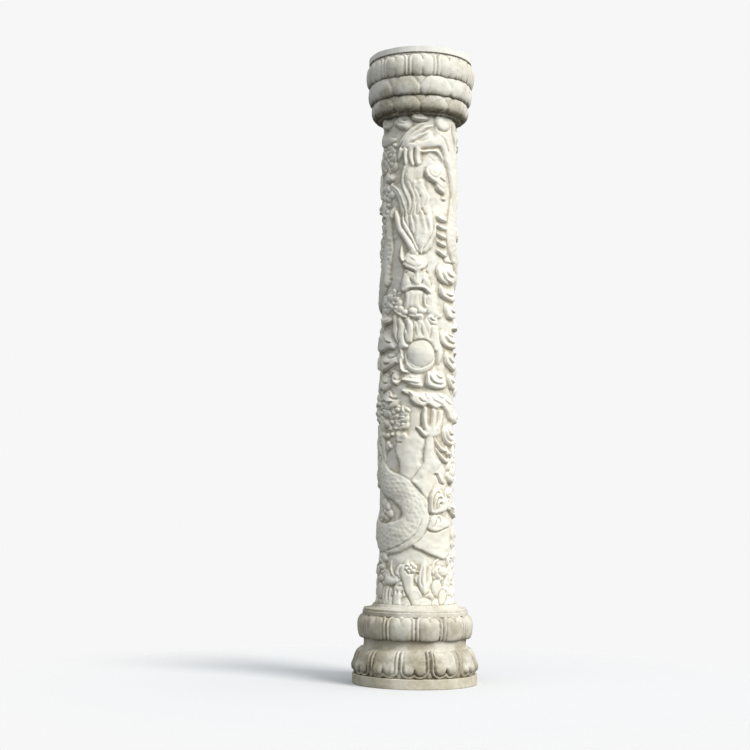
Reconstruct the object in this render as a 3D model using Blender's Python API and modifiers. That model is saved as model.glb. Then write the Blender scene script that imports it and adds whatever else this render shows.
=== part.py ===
"""Dragon pillar: three blocks of carved stone set on each other.

A round base with two bands of lotus petals, a round shaft carved in relief with two dragons among
clouds, and a capital of petals under a plain round slab. Metres, +Z up, the front of the pillar faces -Y,
and the origin is at the middle of the underside.

The carving is a height field. It is drawn on a flat sheet that stands for the unrolled shaft, and then
lifts the points of the turned round by the height at their angle and height. Places on the sheet are
(degrees from the front, percent up the shaft). Widths are in hundredths of the shaft's radius and
heights are shares of the carving's depth, so that the figures keep their proportions.
"""
import math

import bpy
import numpy as np

# Driving sizes, from the foot upwards
SLAB_RADIUS = 0.588
SLAB_HEIGHT = 0.0915
LOWER_LOTUS_RADIUS = 0.579
LOWER_LOTUS_HEIGHT = 0.240
WAIST_RADIUS = 0.483
WAIST_HEIGHT = 0.100
UPPER_LOTUS_RADIUS = 0.536
UPPER_LOTUS_HEIGHT = 0.208
BEAD_RADIUS = 0.496
BEAD_HEIGHT = 0.065
HOLLOW_HEIGHT = 0.0405
SHAFT_RADIUS = 0.345
SHAFT_LENGTH = 4.6244
CARVING_DEPTH = 0.030
UNDERSIDE_HEIGHT = 0.030
LOW_ROLL_RADIUS = 0.459
LOW_ROLL_HEIGHT = 0.140
HIGH_ROLL_RADIUS = 0.491
HIGH_ROLL_HEIGHT = 0.175
PETAL_BAND_RADIUS = 0.514
PETAL_BAND_HEIGHT = 0.207
GROOVE_DEPTH = 0.018
GROOVE_HEIGHT = 0.020
TOP_SLAB_RADIUS = 0.500
TOP_SLAB_HEIGHT = 0.058

BED_GAP = 0.0003          # the bed joint between two blocks
BED_OVERHANG = 0.050      # the base and the capital reach this far past the shaft's bare round
HOLLOW_SPREAD = 0.050     # how far the hollow moulding under the shaft runs out
BEAD_ROUNDING = 0.012
NOTCH_DEPTH = 0.018       # how far the joints between rolls lie behind them
LIP = 0.018               # the lotus bands turn under by this much at their edges
PETALS = 12
PETAL_DEPTH = 0.028
ROLL_PETALS = 10
ROLL_PETAL_DEPTH = 0.016

# The shaft is turned in steps of the grain and then thinned to a number of triangles
GRAIN = 0.011
SOFTENING = 1             # how many times the carving's edges are rounded off
SHAFT_TRIANGLES = 5800

# The base and the capital are turned in columns. On a band the columns move to these places across a
# petal, -0.5 and 0.5 being its edges, by how many columns it gets, and the rings lie at these shares.
COLUMNS = 60
PETAL_PLACES = {5: (-0.5, -0.38, -0.15, 0.15, 0.38), 6: (-0.5, -0.4, -0.2, 0.0, 0.2, 0.4)}
BAND_SHARES = (0.999, 0.92, 0.76, 0.45, 0.12)
ROLL_SHARES = (0.999, 0.8, 0.4)
MARGIN = 0.0003

UNIT = SHAFT_RADIUS / 100
DEGREES_PER_UNIT = math.degrees(UNIT / SHAFT_RADIUS)
PERCENT_PER_UNIT = UNIT / SHAFT_LENGTH * 100
MOAT = 6.0                # width of the cut round a body or limb, in hundredths of the radius
MOAT_FLOOR = 0.1          # what the cut leaves of the forms behind

# Each block's underside and top
BASE_TOP = (SLAB_HEIGHT + LOWER_LOTUS_HEIGHT + WAIST_HEIGHT + UPPER_LOTUS_HEIGHT + BEAD_HEIGHT
            + HOLLOW_HEIGHT)
SHAFT_FOOT = BASE_TOP + BED_GAP
SHAFT_TOP = SHAFT_FOOT + SHAFT_LENGTH
CAPITAL_FOOT = SHAFT_TOP + BED_GAP
BED_RADIUS = SHAFT_RADIUS + BED_OVERHANG

STONE = {"lotus_base": (0.56, 0.50, 0.38), "dragon_shaft": (0.66, 0.62, 0.52),
         "lotus_capital": (0.63, 0.60, 0.50)}
STONE_ROUGHNESS = 0.85


def smooth(t):
    """0 below 0, 1 above 1, and an even slope between."""
    t = np.clip(t, 0.0, 1.0)
    return t * t * (3 - 2 * t)


def round_section(off, power=0.5):
    """The height of a round bar across its width: 1 on its line, 0 at its edge, off = 1."""
    return np.clip(1 - off ** 2, 0, 1) ** power


# The sheet that the shaft's carving is drawn on


class Sheet:
    """The shaft unrolled: heights in metres over its bare round, wrapping round in the columns."""

    def __init__(self, grain):
        girth = 2 * math.pi * SHAFT_RADIUS
        self.columns = round(girth / grain)
        self.rows = round(SHAFT_LENGTH / grain) + 1
        self.step = np.array([girth / self.columns, SHAFT_LENGTH / (self.rows - 1)])
        self.height = np.zeros((self.rows, self.columns))

    def place(self, spots):
        """(degrees, percent) to metres on the sheet."""
        spots = np.asarray(spots, float)
        across = np.radians(spots[..., 0]) * SHAFT_RADIUS
        return np.stack([across, spots[..., 1] / 100 * SHAFT_LENGTH], -1)

    def window(self, low, high):
        """The rows and columns between two corners, and each cell's place in metres."""
        first = np.floor(np.asarray(low) / self.step).astype(int)
        last = np.ceil(np.asarray(high) / self.step).astype(int)
        columns = np.arange(first[0], last[0] + 1)
        rows = np.arange(max(first[1], 0), min(last[1], self.rows - 1) + 1)
        x, y = np.meshgrid(columns * self.step[0], rows * self.step[1])
        return rows, columns, x, y

    def lay(self, rows, columns, top, outside, moat, blend):
        """Lays a form where outside < 0, with a cut round it; blend keeps what is already higher."""
        cells = np.ix_(rows, columns % self.columns)
        old = self.height[cells]
        if moat:
            near = outside / (moat * UNIT)
            old = np.where((near > 0) & (near < 1), old * (MOAT_FLOOR + (1 - MOAT_FLOOR) * smooth(near)), old)
        self.height[cells] = np.where(outside < 0, np.maximum(old, top) if blend else top, old)

    def lower(self, rows, columns, depth):
        self.height[np.ix_(rows, columns % self.columns)] -= depth

    def soften(self):
        """Rounds the edges off over about one cell, as a worn carving's are."""
        for axis in (0, 1):
            wrap = "wrap" if axis else "edge"
            wide = np.pad(self.height, [(1 - axis, 1 - axis), (axis, axis)], mode=wrap)
            before, after = (wide[:, :-2], wide[:, 2:]) if axis else (wide[:-2], wide[2:])
            self.height = self.height / 2 + (before + after) / 4

    def at(self, angle, rise):
        """The height at angles in radians and rises in metres, between the four nearest cells."""
        u = np.mod(angle * SHAFT_RADIUS / self.step[0], self.columns)
        v = np.clip(rise / self.step[1], 0, self.rows - 1)
        column = np.floor(u).astype(int)
        row = np.minimum(np.floor(v).astype(int), self.rows - 2)
        u, v = u - column, v - row
        column = column % self.columns
        after = (column + 1) % self.columns
        low = self.height[row, column] * (1 - u) + self.height[row, after] * u
        high = self.height[row + 1, column] * (1 - u) + self.height[row + 1, after] * u
        return low * (1 - v) + high * v


def curve(sheet, keys, steps=6):
    """A Catmull-Rom line through (degrees, percent, half width): its points and half widths in metres."""
    keys = np.asarray(keys, float)
    keys = np.column_stack([sheet.place(keys[:, :2]), keys[:, 2] * UNIT])
    keys = np.concatenate([[2 * keys[0] - keys[1]], keys, [2 * keys[-1] - keys[-2]]])
    t = np.arange(steps)[:, None] / steps
    runs = []
    for a, b, c, d in zip(keys[:-3], keys[1:-2], keys[2:-1], keys[3:]):
        runs.append(b + (c - a) * t / 2 + (2 * a - 5 * b + 4 * c - d) * t ** 2 / 2
                    + (3 * b - a - 3 * c + d) * t ** 3 / 2)
    line = np.concatenate(runs + [keys[-2:-1]])
    return line[:, :2], np.maximum(line[:, 2], UNIT / 4)


def ridge(sheet, keys, rise, foot=0.0, power=0.5, moat=0.0, blend=True):
    """A rounded bar along a line. It stands up from foot to rise, in shares of the carving's depth."""
    points, halves = curve(sheet, keys)
    reach = halves.max() + moat * UNIT + sheet.step.max()
    rows, columns, x, y = sheet.window(points.min(0) - reach, points.max(0) + reach)
    outside = np.full(x.shape, np.inf)
    off = np.ones(x.shape)
    for a, b, near, far in zip(points[:-1], points[1:], halves[:-1], halves[1:]):
        run = (b - a) / np.dot(b - a, b - a)
        t = np.clip((x - a[0]) * run[0] + (y - a[1]) * run[1], 0, 1)
        half = near + (far - near) * t
        away = np.hypot(x - a[0] - (b - a)[0] * t, y - a[1] - (b - a)[1] * t)
        nearer = away - half < outside
        outside = np.where(nearer, away - half, outside)
        off = np.where(nearer, away / half, off)
    top = CARVING_DEPTH * (foot + (rise - foot) * round_section(off, power))
    sheet.lay(rows, columns, top, outside, moat, blend)


def dome(sheet, spot, radii, rise, foot=0.0, tilt=0.0, power=0.5, moat=0.0, blend=True):
    """An oval boss, its radii in hundredths of the shaft's radius."""
    rows, columns, off = oval(sheet, spot, radii, tilt, moat)
    top = CARVING_DEPTH * (foot + (rise - foot) * round_section(off, power))
    sheet.lay(rows, columns, top, (off - 1) * min(radii) * UNIT, moat, blend)


def dent(sheet, spot, radii, depth, tilt=0.0):
    """An oval hollow with soft edges."""
    rows, columns, off = oval(sheet, spot, radii, tilt, 0)
    sheet.lower(rows, columns, CARVING_DEPTH * depth * smooth(1 - off))


def oval(sheet, spot, radii, tilt, margin):
    """The cells round an oval, each with its distance from the middle as a share of the radius there."""
    x0, y0 = sheet.place(spot)
    reach = (max(radii) + margin + 2) * UNIT
    rows, columns, x, y = sheet.window((x0 - reach, y0 - reach), (x0 + reach, y0 + reach))
    turn = math.radians(tilt)
    u = ((x - x0) * math.cos(turn) + (y - y0) * math.sin(turn)) / (radii[0] * UNIT)
    v = ((y - y0) * math.cos(turn) - (x - x0) * math.sin(turn)) / (radii[1] * UNIT)
    return rows, columns, np.hypot(u, v)


def around(spot, angle, distance):
    """The spot at an angle and a distance, in hundredths of the radius, from another."""
    turn = math.radians(angle)
    return (spot[0] + math.cos(turn) * distance * DEGREES_PER_UNIT,
            spot[1] + math.sin(turn) * distance * PERCENT_PER_UNIT)


# The carver's forms


def cloud(sheet, spot, size, turn, hand, rise=0.85, lobes=1):
    """A round scroll with a tail and smaller lobes behind it."""
    tail = []
    for i in range(4):
        along = i / 3
        swing = turn - hand * (83 + 32 * along)
        tail.append((*around(spot, swing, size * (0.55 + 1.65 * along)), size * (0.48 - 0.26 * along)))
    ridge(sheet, tail, rise * 0.75)
    for i in range(lobes):
        way = turn + hand * (109 + 63 * i)
        lobe = size * (0.66 - 0.10 * i)
        dome(sheet, around(spot, way, size * 1.12), (lobe, lobe), rise * (0.82 - 0.08 * i))
    dome(sheet, spot, (size, size), rise)


def paw(sheet, spot, aim, size, spread=110, fingers=5):
    """A claw: fingers that fan out from the palm, thicker at the knuckle and pointed at the nail."""
    for i in range(fingers):
        lean = i / (fingers - 1) * 2 - 1
        length = size * (2.15 - 0.35 * lean ** 2)
        finger = []
        for reach, width in ((0.12, 0.28), (0.5, 0.29), (0.8, 0.2), (1.0, 0.08)):
            way = aim + lean * (spread / 2 + 22 * (reach - 0.4))
            finger.append((*around(spot, way, length * reach), size * width))
        ridge(sheet, finger, 0.95)
    dome(sheet, spot, (size * 0.5, size * 0.42), 1.0, tilt=aim - 90)


def limb(sheet, keys, aim, size, spread=110):
    """A leg along its keys, with a claw a little past its last one."""
    ridge(sheet, keys, 1.05, foot=0.4, moat=MOAT, blend=False)
    paw(sheet, around(keys[-1][:2], aim, 1.5), aim, size, spread)


def locks(sheet, strands, width, rise=0.88):
    """Wavy pointed strands of mane, each through its own few spots."""
    for spots in strands:
        last = len(spots) - 1
        keys = []
        for i, (angle, percent) in enumerate(spots):
            t = i / last
            keys.append((angle, percent, width * (0.75 + 2.2 * t * (1 - t)) * (1 - t ** 3) + 1.5))
        ridge(sheet, keys, rise, power=0.7)


def fins(sheet, keys, side, pitch=34, size=0.42):
    """A row of pointed fins along one edge of a body, leaning back along it."""
    points, halves = curve(sheet, keys)
    run = np.concatenate([[0], np.cumsum(np.hypot(*np.diff(points, axis=0).T))])
    count = int(run[-1] / (pitch * UNIT))
    for i in range(1, count):
        along = run[-1] * i / count
        here = np.array([np.interp(along, run, points[:, k]) for k in (0, 1)])
        ahead = np.array([np.interp(along + UNIT, run, points[:, k]) for k in (0, 1)]) - here
        ahead = ahead / np.hypot(*ahead)
        out = np.array([-ahead[1], ahead[0]]) * side
        half = np.interp(along, run, halves)
        root = here + out * half * 0.8
        tip = here + out * half * (1 + size) + ahead * half * size
        fin = []
        for spot, width in ((root, 0.5), (tip, 0.08)):
            fin.append((math.degrees(spot[0] / SHAFT_RADIUS), spot[1] / SHAFT_LENGTH * 100,
                        half * width / UNIT))
        ridge(sheet, fin, 0.7)


def pearl(sheet, spot, size):
    """The flaming pearl: a ball in a collar, with pointed flames round it."""
    for way, length, bend in ((150, 1.75, 30), (118, 1.85, 22), (95, 1.9, 10), (72, 1.85, -8), (48, 1.8, -22),
                              (22, 1.6, -30), (185, 1.5, 40), (-8, 1.45, -35)):
        flame = []
        for reach, width in ((0.85, 0.3), (1.25, 0.22), (length, 0.05)):
            flame.append((*around(spot, way + bend * (reach - 0.85), size * reach), size * width))
        ridge(sheet, flame, 0.75, power=0.7)
    dome(sheet, spot, (size * 1.25, size * 1.25), 0.8, foot=0.4, power=0.3)
    dome(sheet, spot, (size * 0.9, size * 0.9), 1.5, moat=MOAT, blend=False)


def face(sheet, spot, half):
    """A dragon's face from the front; half is half its width, and its parts are shares of that."""

    def at(across, up):
        return (spot[0] + across * half * DEGREES_PER_UNIT, spot[1] + up * half * PERCENT_PER_UNIT)

    def bar(rows, rise, foot=0.0):
        ridge(sheet, [(*at(across, up), width * half) for across, up, width in rows], rise, foot)

    def boss(across, up, wide, tall, rise, foot=0.0):
        dome(sheet, at(across, up), (wide * half, tall * half), rise, foot, power=0.4)

    for side in (-1, 1):
        # cheek ruffs and ears
        for up in (-0.45, 0.15):
            bar(((side * 0.6, up, 0.24), (side * 1.0, up - 0.03, 0.22), (side * 1.34, up + 0.05, 0.06)), 0.85)
        bar(((side * 0.62, 1.0, 0.24), (side * 0.98, 1.32, 0.26), (side * 1.3, 1.62, 0.06)), 0.9)
    boss(0, 0.75, 0.98, 0.85, 1.0)
    boss(0, -0.15, 0.86, 0.90, 1.1)
    boss(0, -1.3, 0.66, 0.85, 0.95)
    for side in (-1, 0, 1):
        bar(((side * 0.34, -1.5, 0.22), (side * 0.5, -2.25, 0.08)), 0.9)
    dent(sheet, at(0, -0.98), (0.62 * half, 0.34 * half), 0.8)
    # muzzle, nose, brows and the crown's bosses
    bar(((-0.78, -0.86, 0.15), (-0.45, -0.6, 0.22), (0.45, -0.6, 0.22), (0.78, -0.86, 0.15)), 1.25)
    bar(((0, 0.62, 0.2), (0, 0.2, 0.2), (0, -0.2, 0.28)), 1.4)
    boss(0, -0.2, 0.36, 0.3, 1.65)
    for side in (-1, 1):
        dent(sheet, at(side * 0.46, 0.3), (0.36 * half, 0.27 * half), 0.8)
        boss(side * 0.45, 0.29, 0.2, 0.17, 1.15)
        bar(((side * 0.1, 0.42, 0.16), (side * 0.5, 0.7, 0.2), (side * 0.98, 0.42, 0.1)), 1.5)
        boss(side * 0.3, 1.12, 0.3, 0.34, 1.3)


# The layout, from the photograph in front and in keeping with it behind


UPPER_BODY = [(28, 102, 22), (44, 97.5, 24), (60, 92, 25), (70, 86, 25), (76, 80, 26), (86, 73.5, 27),
              (106, 67, 28), (134, 62.5, 28), (165, 60.5, 27), (200, 60.5, 26), (232, 60.8, 25),
              (262, 62.6, 24), (286, 66.5, 23), (293, 72.5, 20), (290, 78.5, 16), (280, 84, 12),
              (264, 88, 8), (252, 90, 4)]
LOWER_BODY = [(-86, 36.5, 20), (-80, 31.5, 22), (-72, 27, 25), (-48, 23.4, 29), (-22, 22, 31), (-1, 19, 32),
              (-4, 14.8, 31), (-30, 12, 29), (-62, 11.6, 28), (-95, 13.5, 27), (-130, 18.5, 26),
              (-165, 24, 25), (-200, 28.5, 24), (-228, 33.5, 22), (-244, 39.5, 19), (-240, 45.5, 15),
              (-222, 49.5, 11), (-202, 51, 7), (-190, 50, 3)]
FRONT_CLOUDS = [
    # degrees, percent, size, turn, hand, small lobes
    (-25, 98, 22, 200, 1, 1), (0, 100.4, 26, 90, 1, 0), (41, 98.4, 27, 80, -1, 1), (-58, 98.8, 20, 120, 1, 1),
    (82, 98, 20, 60, 1, 1), (-48, 87.3, 20, 260, 1, 0), (28, 88.4, 28, 150, -1, 0), (38, 85.2, 15, 320, 1, 0),
    (49, 67.7, 25, 60, 1, 1), (57, 64.6, 26, 30, -1, 1), (54, 59.9, 24, 20, 1, 1), (-58, 61.6, 22, 150, 1, 1),
    (-52, 57.7, 22, 200, 1, 1), (-28, 59.4, 19, 160, -1, 0), (-8, 58.8, 23, 270, 1, 0),
    (20, 57.8, 21, 300, -1, 1), (58, 54.4, 30, 40, 1, 1), (65, 50.2, 25, 20, -1, 1), (-60, 54, 27, 150, -1, 1),
    (-50, 50.3, 25, 210, 1, 1), (-55, 45.2, 24, 160, 1, 1), (-32, 46.3, 18, 120, 1, 0),
    (27, 45.4, 30, 230, 1, 0), (56, 46.4, 19, 60, 1, 1), (-9, 45, 17, 90, -1, 0), (3, 41.6, 27, 200, -1, 0),
    (31, 41.2, 28, 330, 1, 0), (57, 40.2, 22, 30, 1, 1), (-52, 42, 22, 180, 1, 1), (-40, 40.1, 17, 100, 1, 0),
    (60, 34.6, 25, 200, -1, 1), (35, 20.6, 25, 120, 1, 1), (42, 16.6, 22, 330, -1, 1), (72, 27, 24, 30, 1, 2),
    (80, 14, 24, 60, -1, 2)]
HIDDEN_CLOUDS = 54
HIDDEN_FROM, HIDDEN_SPAN = 84, 192
GOLDEN_ANGLE = 137.508
UPPER_MANE = [
    [(-10, 72), (-18, 74), (-22, 77), (-27, 79.8), (-27, 82.4), (-36, 84.4), (-48, 85.8)],
    [(-5, 72.6), (-11, 76.4), (-16, 79.2), (-17, 81.8), (-25, 84.4), (-28, 87), (-30, 89.3)],
    [(-1, 73), (-4, 76.6), (-2, 79.4), (-9, 82.4), (-17, 85), (-20, 88), (-23, 91)],
    [(4, 73), (3, 76.4), (8, 79.2), (0, 82.4), (-8, 85.2), (-11, 88.4), (-16, 90.8)],
    [(9, 72.6), (12, 75.2), (16, 78), (11, 81), (3, 83.8), (-2, 87)],
    [(14, 72.4), (20, 74.6), (22, 77.4), (25, 79.8), (18, 82.4), (9, 85.2)],
    [(-12, 72), (-20, 72.8), (-29, 74), (-38, 75.2), (-46, 78)]]
LOWER_MANE = [
    [(-74, 39.4), (-60, 39), (-48, 38.2), (-36, 38.6), (-28, 38)],
    [(-72, 37.6), (-58, 37), (-44, 35.8), (-30, 36.9), (-14, 36.8)],
    [(-70, 36), (-56, 35), (-44, 33.8), (-28, 34.8), (-12, 35.2)],
    [(-70, 34.6), (-58, 33), (-46, 31.6), (-34, 31.8)],
    [(-72, 33.2), (-62, 31.2), (-52, 29.6), (-42, 28.8)],
    [(-98, 35.6), (-104, 33), (-112, 31)]]
ELBOW_TUFTS = [
    [(33, 31.8), (43, 32.6), (50, 33.8)], [(33, 30.2), (44, 30), (53, 30.8)],
    [(32, 28.4), (41, 27.8), (50, 28.2)], [(30, 26.4), (40, 25.2), (50, 24.4)],
    [(32, 24.6), (40, 23.2), (47, 22)]]


def carve_waves(sheet):
    """Rocks, scrolls and two rows of round wave crests at the foot."""
    for i in range(9):
        angle = i * 40 + 20
        ridge(sheet, [(angle - 6, 0, 26), (angle - 2, 4, 17), (angle + 3, 7.4 + 1.3 * (i % 2), 4)], 0.85)
    for i in range(12):
        cloud(sheet, (i * 30 + 8, 5.2 + 1.2 * (i % 2)), 19 + 3 * (i % 3), 100 + 50 * (i % 3), 1 - i % 2 * 2,
              rise=0.9, lobes=0)
    for i in range(15):
        dome(sheet, (i * 24, 1.2), (24, 24), 0.95)
    # the slanting rock and the oval stone in front
    ridge(sheet, [(-24, 7.4, 8), (-16, 4.6, 13), (-6, 2.2, 13), (6, -0.5, 9)], 1.0)
    dome(sheet, (9, 5), (13, 28), 1.05)


def carve_upper_dragon(sheet):
    """Its body comes down the right, crosses behind and rises on the left; its face looks out in front."""
    ridge(sheet, [(-16, 95.2, 10), (6, 96, 17), (28, 95.6, 17), (44, 94.2, 12)], 1.0)
    limb(sheet, [(50, 92.2, 12), (32, 92.8, 11), (14, 92.75, 9), (-6, 92.6, 8.5), (-14, 92.7, 9)], 264, 15)
    limb(sheet, [(120, 61, 24), (130, 55.5, 17), (122, 51, 12), (113, 48.6, 10)], 250, 18)
    limb(sheet, [(84, 83, 20), (102, 85.5, 14), (114, 89.5, 11)], 70, 18)
    locks(sheet, UPPER_MANE, 8.2)
    ridge(sheet, [(-9, 71.6, 8), (-19, 74, 7), (-29, 76.4, 6.5), (-39, 79.2, 6.5), (-42, 81, 3)], 1.1)
    ridge(sheet, [(20, 70.8, 11), (31, 73, 12), (36, 76.2, 11), (35, 79.8, 8)], 0.95)
    face(sheet, (-3, 66.2), 37)


def carve_lower_dragon(sheet):
    """Its face looks up on the left; its body bends right in front and then rises round the back."""
    locks(sheet, ELBOW_TUFTS, 8)
    limb(sheet, [(28, 21.4, 25), (24, 24.4, 21), (18, 27.6, 17), (19, 30.6, 15), (22, 33.2, 13)], 92, 27)
    limb(sheet, [(-150, 20.5, 22), (-160, 14.5, 15), (-150, 11, 11)], -60, 18)
    limb(sheet, [(-84, 26, 20), (-108, 27.5, 14), (-122, 32, 11)], 110, 18)
    limb(sheet, [(-14, 12.8, 22), (8, 11.4, 15), (24, 10.4, 11), (42, 9.6, 9)], -20, 15)
    locks(sheet, LOWER_MANE, 8)
    ridge(sheet, [(-98, 43.2, 8), (-106, 45.5, 7), (-108, 48, 6), (-102, 50.2, 3)], 1.1)
    ridge(sheet, [(-78, 43.2, 8), (-72, 45.2, 7), (-70, 47.4, 6), (-74, 49.2, 3)], 1.1)
    face(sheet, (-88, 39.2), 34)


def carve_shaft():
    """The whole relief of the shaft, what lies behind first."""
    sheet = Sheet(GRAIN)
    for i in range(HIDDEN_CLOUDS):
        angle = HIDDEN_FROM + (i * GOLDEN_ANGLE) % HIDDEN_SPAN
        percent = 9 + 90 * (i + 0.5) / HIDDEN_CLOUDS
        cloud(sheet, (angle, percent), 20 + 1.5 * (i * 7 % 5), i * 77 % 360, 1 - i % 2 * 2, rise=0.7)
    carve_waves(sheet)
    for body, side in ((UPPER_BODY, 1), (LOWER_BODY, -1)):
        fins(sheet, body, side)
        ridge(sheet, body, 1.05, foot=0.35, moat=MOAT, blend=False)
    for angle, percent, size, turn, hand, lobes in FRONT_CLOUDS:
        cloud(sheet, (angle, percent), size, turn, hand, lobes=lobes)
    carve_upper_dragon(sheet)
    pearl(sheet, (4, 50.5), 42)
    carve_lower_dragon(sheet)
    for _ in range(SOFTENING):
        sheet.soften()
    return sheet


# Petals, as a height over the turned round. Across is how far a point lies from its petal's middle, 0 to
# 0.5 of the petal's width, and share how high it lies on its band, 0 to 1.


def upright_petal(across, share):
    """A petal that stands on its band: a raised rim with a pointed round head, and a swelling inside."""
    head = np.clip((share - 0.5) / 0.5, 0, 1)
    inside = 0.5 * np.sqrt(1 - head ** 2) - across
    return smooth(inside / 0.12) * (0.75 + 0.25 * smooth(inside / 0.4))


def hanging_petal(across, share):
    """A petal that hangs down its band and ends in two round lobes."""
    end = 0.20 - 0.18 * np.sqrt(np.clip(1 - ((across - 0.24) / 0.24) ** 2, 0, 1))
    inside = np.minimum(0.5 - across, (share - end) * 0.9)
    return smooth(inside / 0.12) * (0.6 + 0.4 * smooth((0.75 - share) / 0.5))


def roll_petal(across, share):
    """A broad petal round a roll, with a cut where it meets the next."""
    return smooth((0.5 - across) / 0.12)


# The turned rounds


def turned(name, outline, columns):
    """A closed solid from an outline that runs from the axis down the outer side to the axis again."""
    mesh = bpy.data.meshes.new(name)
    mesh.from_pydata([(r, 0, z) for r, z in outline], [(i, i + 1) for i in range(len(outline) - 1)], [])
    piece = bpy.data.objects.new(name, mesh)
    stones.objects.link(piece)
    screw = piece.modifiers.new("turn", "SCREW")
    screw.steps = columns
    screw.render_steps = columns
    screw.use_merge_vertices = True
    screw.merge_threshold = 0.00001
    apply_modifiers(piece)
    return piece


def apply_modifiers(piece):
    evaluated = piece.evaluated_get(bpy.context.evaluated_depsgraph_get())
    mesh = bpy.data.meshes.new_from_object(evaluated)
    piece.modifiers.clear()
    piece.data = mesh


def reshape(piece, change):
    """Gives each point off the axis the angle and radius that change(angle, radius, height) returns."""
    spots = np.empty(len(piece.data.vertices) * 3)
    piece.data.vertices.foreach_get("co", spots)
    spots = spots.reshape(-1, 3)
    radius = np.hypot(spots[:, 0], spots[:, 1])
    off_axis = radius > SHAFT_RADIUS / 2
    angle, moved = change(np.arctan2(spots[:, 0], -spots[:, 1]), radius, spots[:, 2])
    spots[:, 0] = np.where(off_axis, moved * np.sin(angle), spots[:, 0])
    spots[:, 1] = np.where(off_axis, -moved * np.cos(angle), spots[:, 1])
    piece.data.vertices.foreach_set("co", spots.ravel())
    piece.data.update()


def finished(piece, crease):
    """Shades the carving smooth up to a crease in degrees, and gives the stone its colour."""
    piece.data.shade_smooth()
    piece.data.set_sharp_from_angle(angle=math.radians(crease))
    stone = bpy.data.materials.new(piece.name + "_stone")
    stone.use_nodes = True
    shader = stone.node_tree.nodes["Principled BSDF"]
    shader.inputs["Base Color"].default_value = (*STONE[piece.name], 1)
    shader.inputs["Roughness"].default_value = STONE_ROUGHNESS
    shader.inputs["Metallic"].default_value = 0
    piece.data.materials.append(stone)


def make_shaft():
    """The shaft is turned fine, carved, and thinned to the triangles that the carving needs most."""
    rings = round(SHAFT_LENGTH / GRAIN)
    side = [(SHAFT_RADIUS, SHAFT_TOP - SHAFT_LENGTH * i / rings) for i in range(rings + 1)]
    sheet = carve_shaft()
    piece = turned("dragon_shaft", [(0, SHAFT_TOP)] + side + [(0, SHAFT_FOOT)], sheet.columns)
    reshape(piece, lambda angle, radius, z: (angle, radius + sheet.at(angle, z - SHAFT_FOOT)))
    piece.data.calc_loop_triangles()
    thin = piece.modifiers.new("thin", "DECIMATE")
    thin.ratio = SHAFT_TRIANGLES / len(piece.data.loop_triangles)
    thin.use_collapse_triangulate = True
    apply_modifiers(piece)
    # thinning may leave a bed a hair out of level
    for vertex in piece.data.vertices:
        for bed in (SHAFT_FOOT, SHAFT_TOP):
            if abs(vertex.co.z - bed) < GRAIN / 2:
                vertex.co.z = bed
    finished(piece, 48)


def band_rings(foot_radius, foot, radius, widest, top_radius, top, shares):
    """Rings down a rounded band, at shares of its height from its top to its foot. It is two quarter
    ellipses that meet at its widest."""
    rings = []
    for share in shares:
        z = foot + (top - foot) * share
        edge, end = (top_radius, top) if z > widest else (foot_radius, foot)
        off = (z - widest) / (end - widest)
        rings.append((edge + (radius - edge) * math.sqrt(max(1 - off ** 2, 0)), z))
    return rings


def petalled(name, outline, bands):
    """A turned block with petals on its bands, each band (foot, top, petal, how many, edge, depth). Each
    band's columns of points first move to the places across its petals that need them."""
    piece = turned(name, outline, COLUMNS)

    def change(angle, radius, z):
        for foot, top, petal, count, edge, depth in bands:
            on_band = (z > foot + MARGIN) & (z < top - MARGIN)
            places = np.array(PETAL_PLACES[COLUMNS // count])
            turns = (angle - math.radians(edge)) / (2 * math.pi) * count
            column = np.floor(turns * len(places) + 0.75).astype(int)
            across = places[column % len(places)]
            lined_up = (column // len(places) + across + 0.5) / count * 2 * math.pi + math.radians(edge)
            raised = depth * petal(np.abs(across), (z - foot) / (top - foot)) - depth / 2
            angle = np.where(on_band, lined_up, angle)
            radius = np.where(on_band, radius + raised, radius)
        return angle, radius

    reshape(piece, change)
    finished(piece, 32)


def make_base():
    waist_foot = SLAB_HEIGHT + LOWER_LOTUS_HEIGHT
    upper_foot = waist_foot + WAIST_HEIGHT
    bead_foot = upper_foot + UPPER_LOTUS_HEIGHT
    hollow_foot = bead_foot + BEAD_HEIGHT
    outline = [(0, BASE_TOP), (BED_RADIUS, BASE_TOP),
               (BED_RADIUS + HOLLOW_SPREAD / 3, hollow_foot + HOLLOW_HEIGHT / 3),
               (BED_RADIUS + HOLLOW_SPREAD, hollow_foot)]
    outline += [(BEAD_RADIUS, hollow_foot - BEAD_ROUNDING), (BEAD_RADIUS, bead_foot + BEAD_ROUNDING)]
    outline += band_rings(WAIST_RADIUS + LIP, upper_foot, UPPER_LOTUS_RADIUS,
                          upper_foot + 0.6 * UPPER_LOTUS_HEIGHT, BEAD_RADIUS - LIP, bead_foot, BAND_SHARES)
    outline += [(WAIST_RADIUS, upper_foot), (WAIST_RADIUS, waist_foot)]
    outline += band_rings(LOWER_LOTUS_RADIUS - LIP, SLAB_HEIGHT, LOWER_LOTUS_RADIUS,
                          SLAB_HEIGHT + 0.45 * LOWER_LOTUS_HEIGHT, WAIST_RADIUS + LIP, waist_foot,
                          [1 - share for share in BAND_SHARES][::-1])
    outline += [(SLAB_RADIUS, SLAB_HEIGHT), (SLAB_RADIUS, 0), (0, 0)]
    petalled("lotus_base", outline, [
        (SLAB_HEIGHT, waist_foot, hanging_petal, PETALS, 15, PETAL_DEPTH),
        (upper_foot, bead_foot, upright_petal, PETALS, 0, PETAL_DEPTH)])


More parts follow.
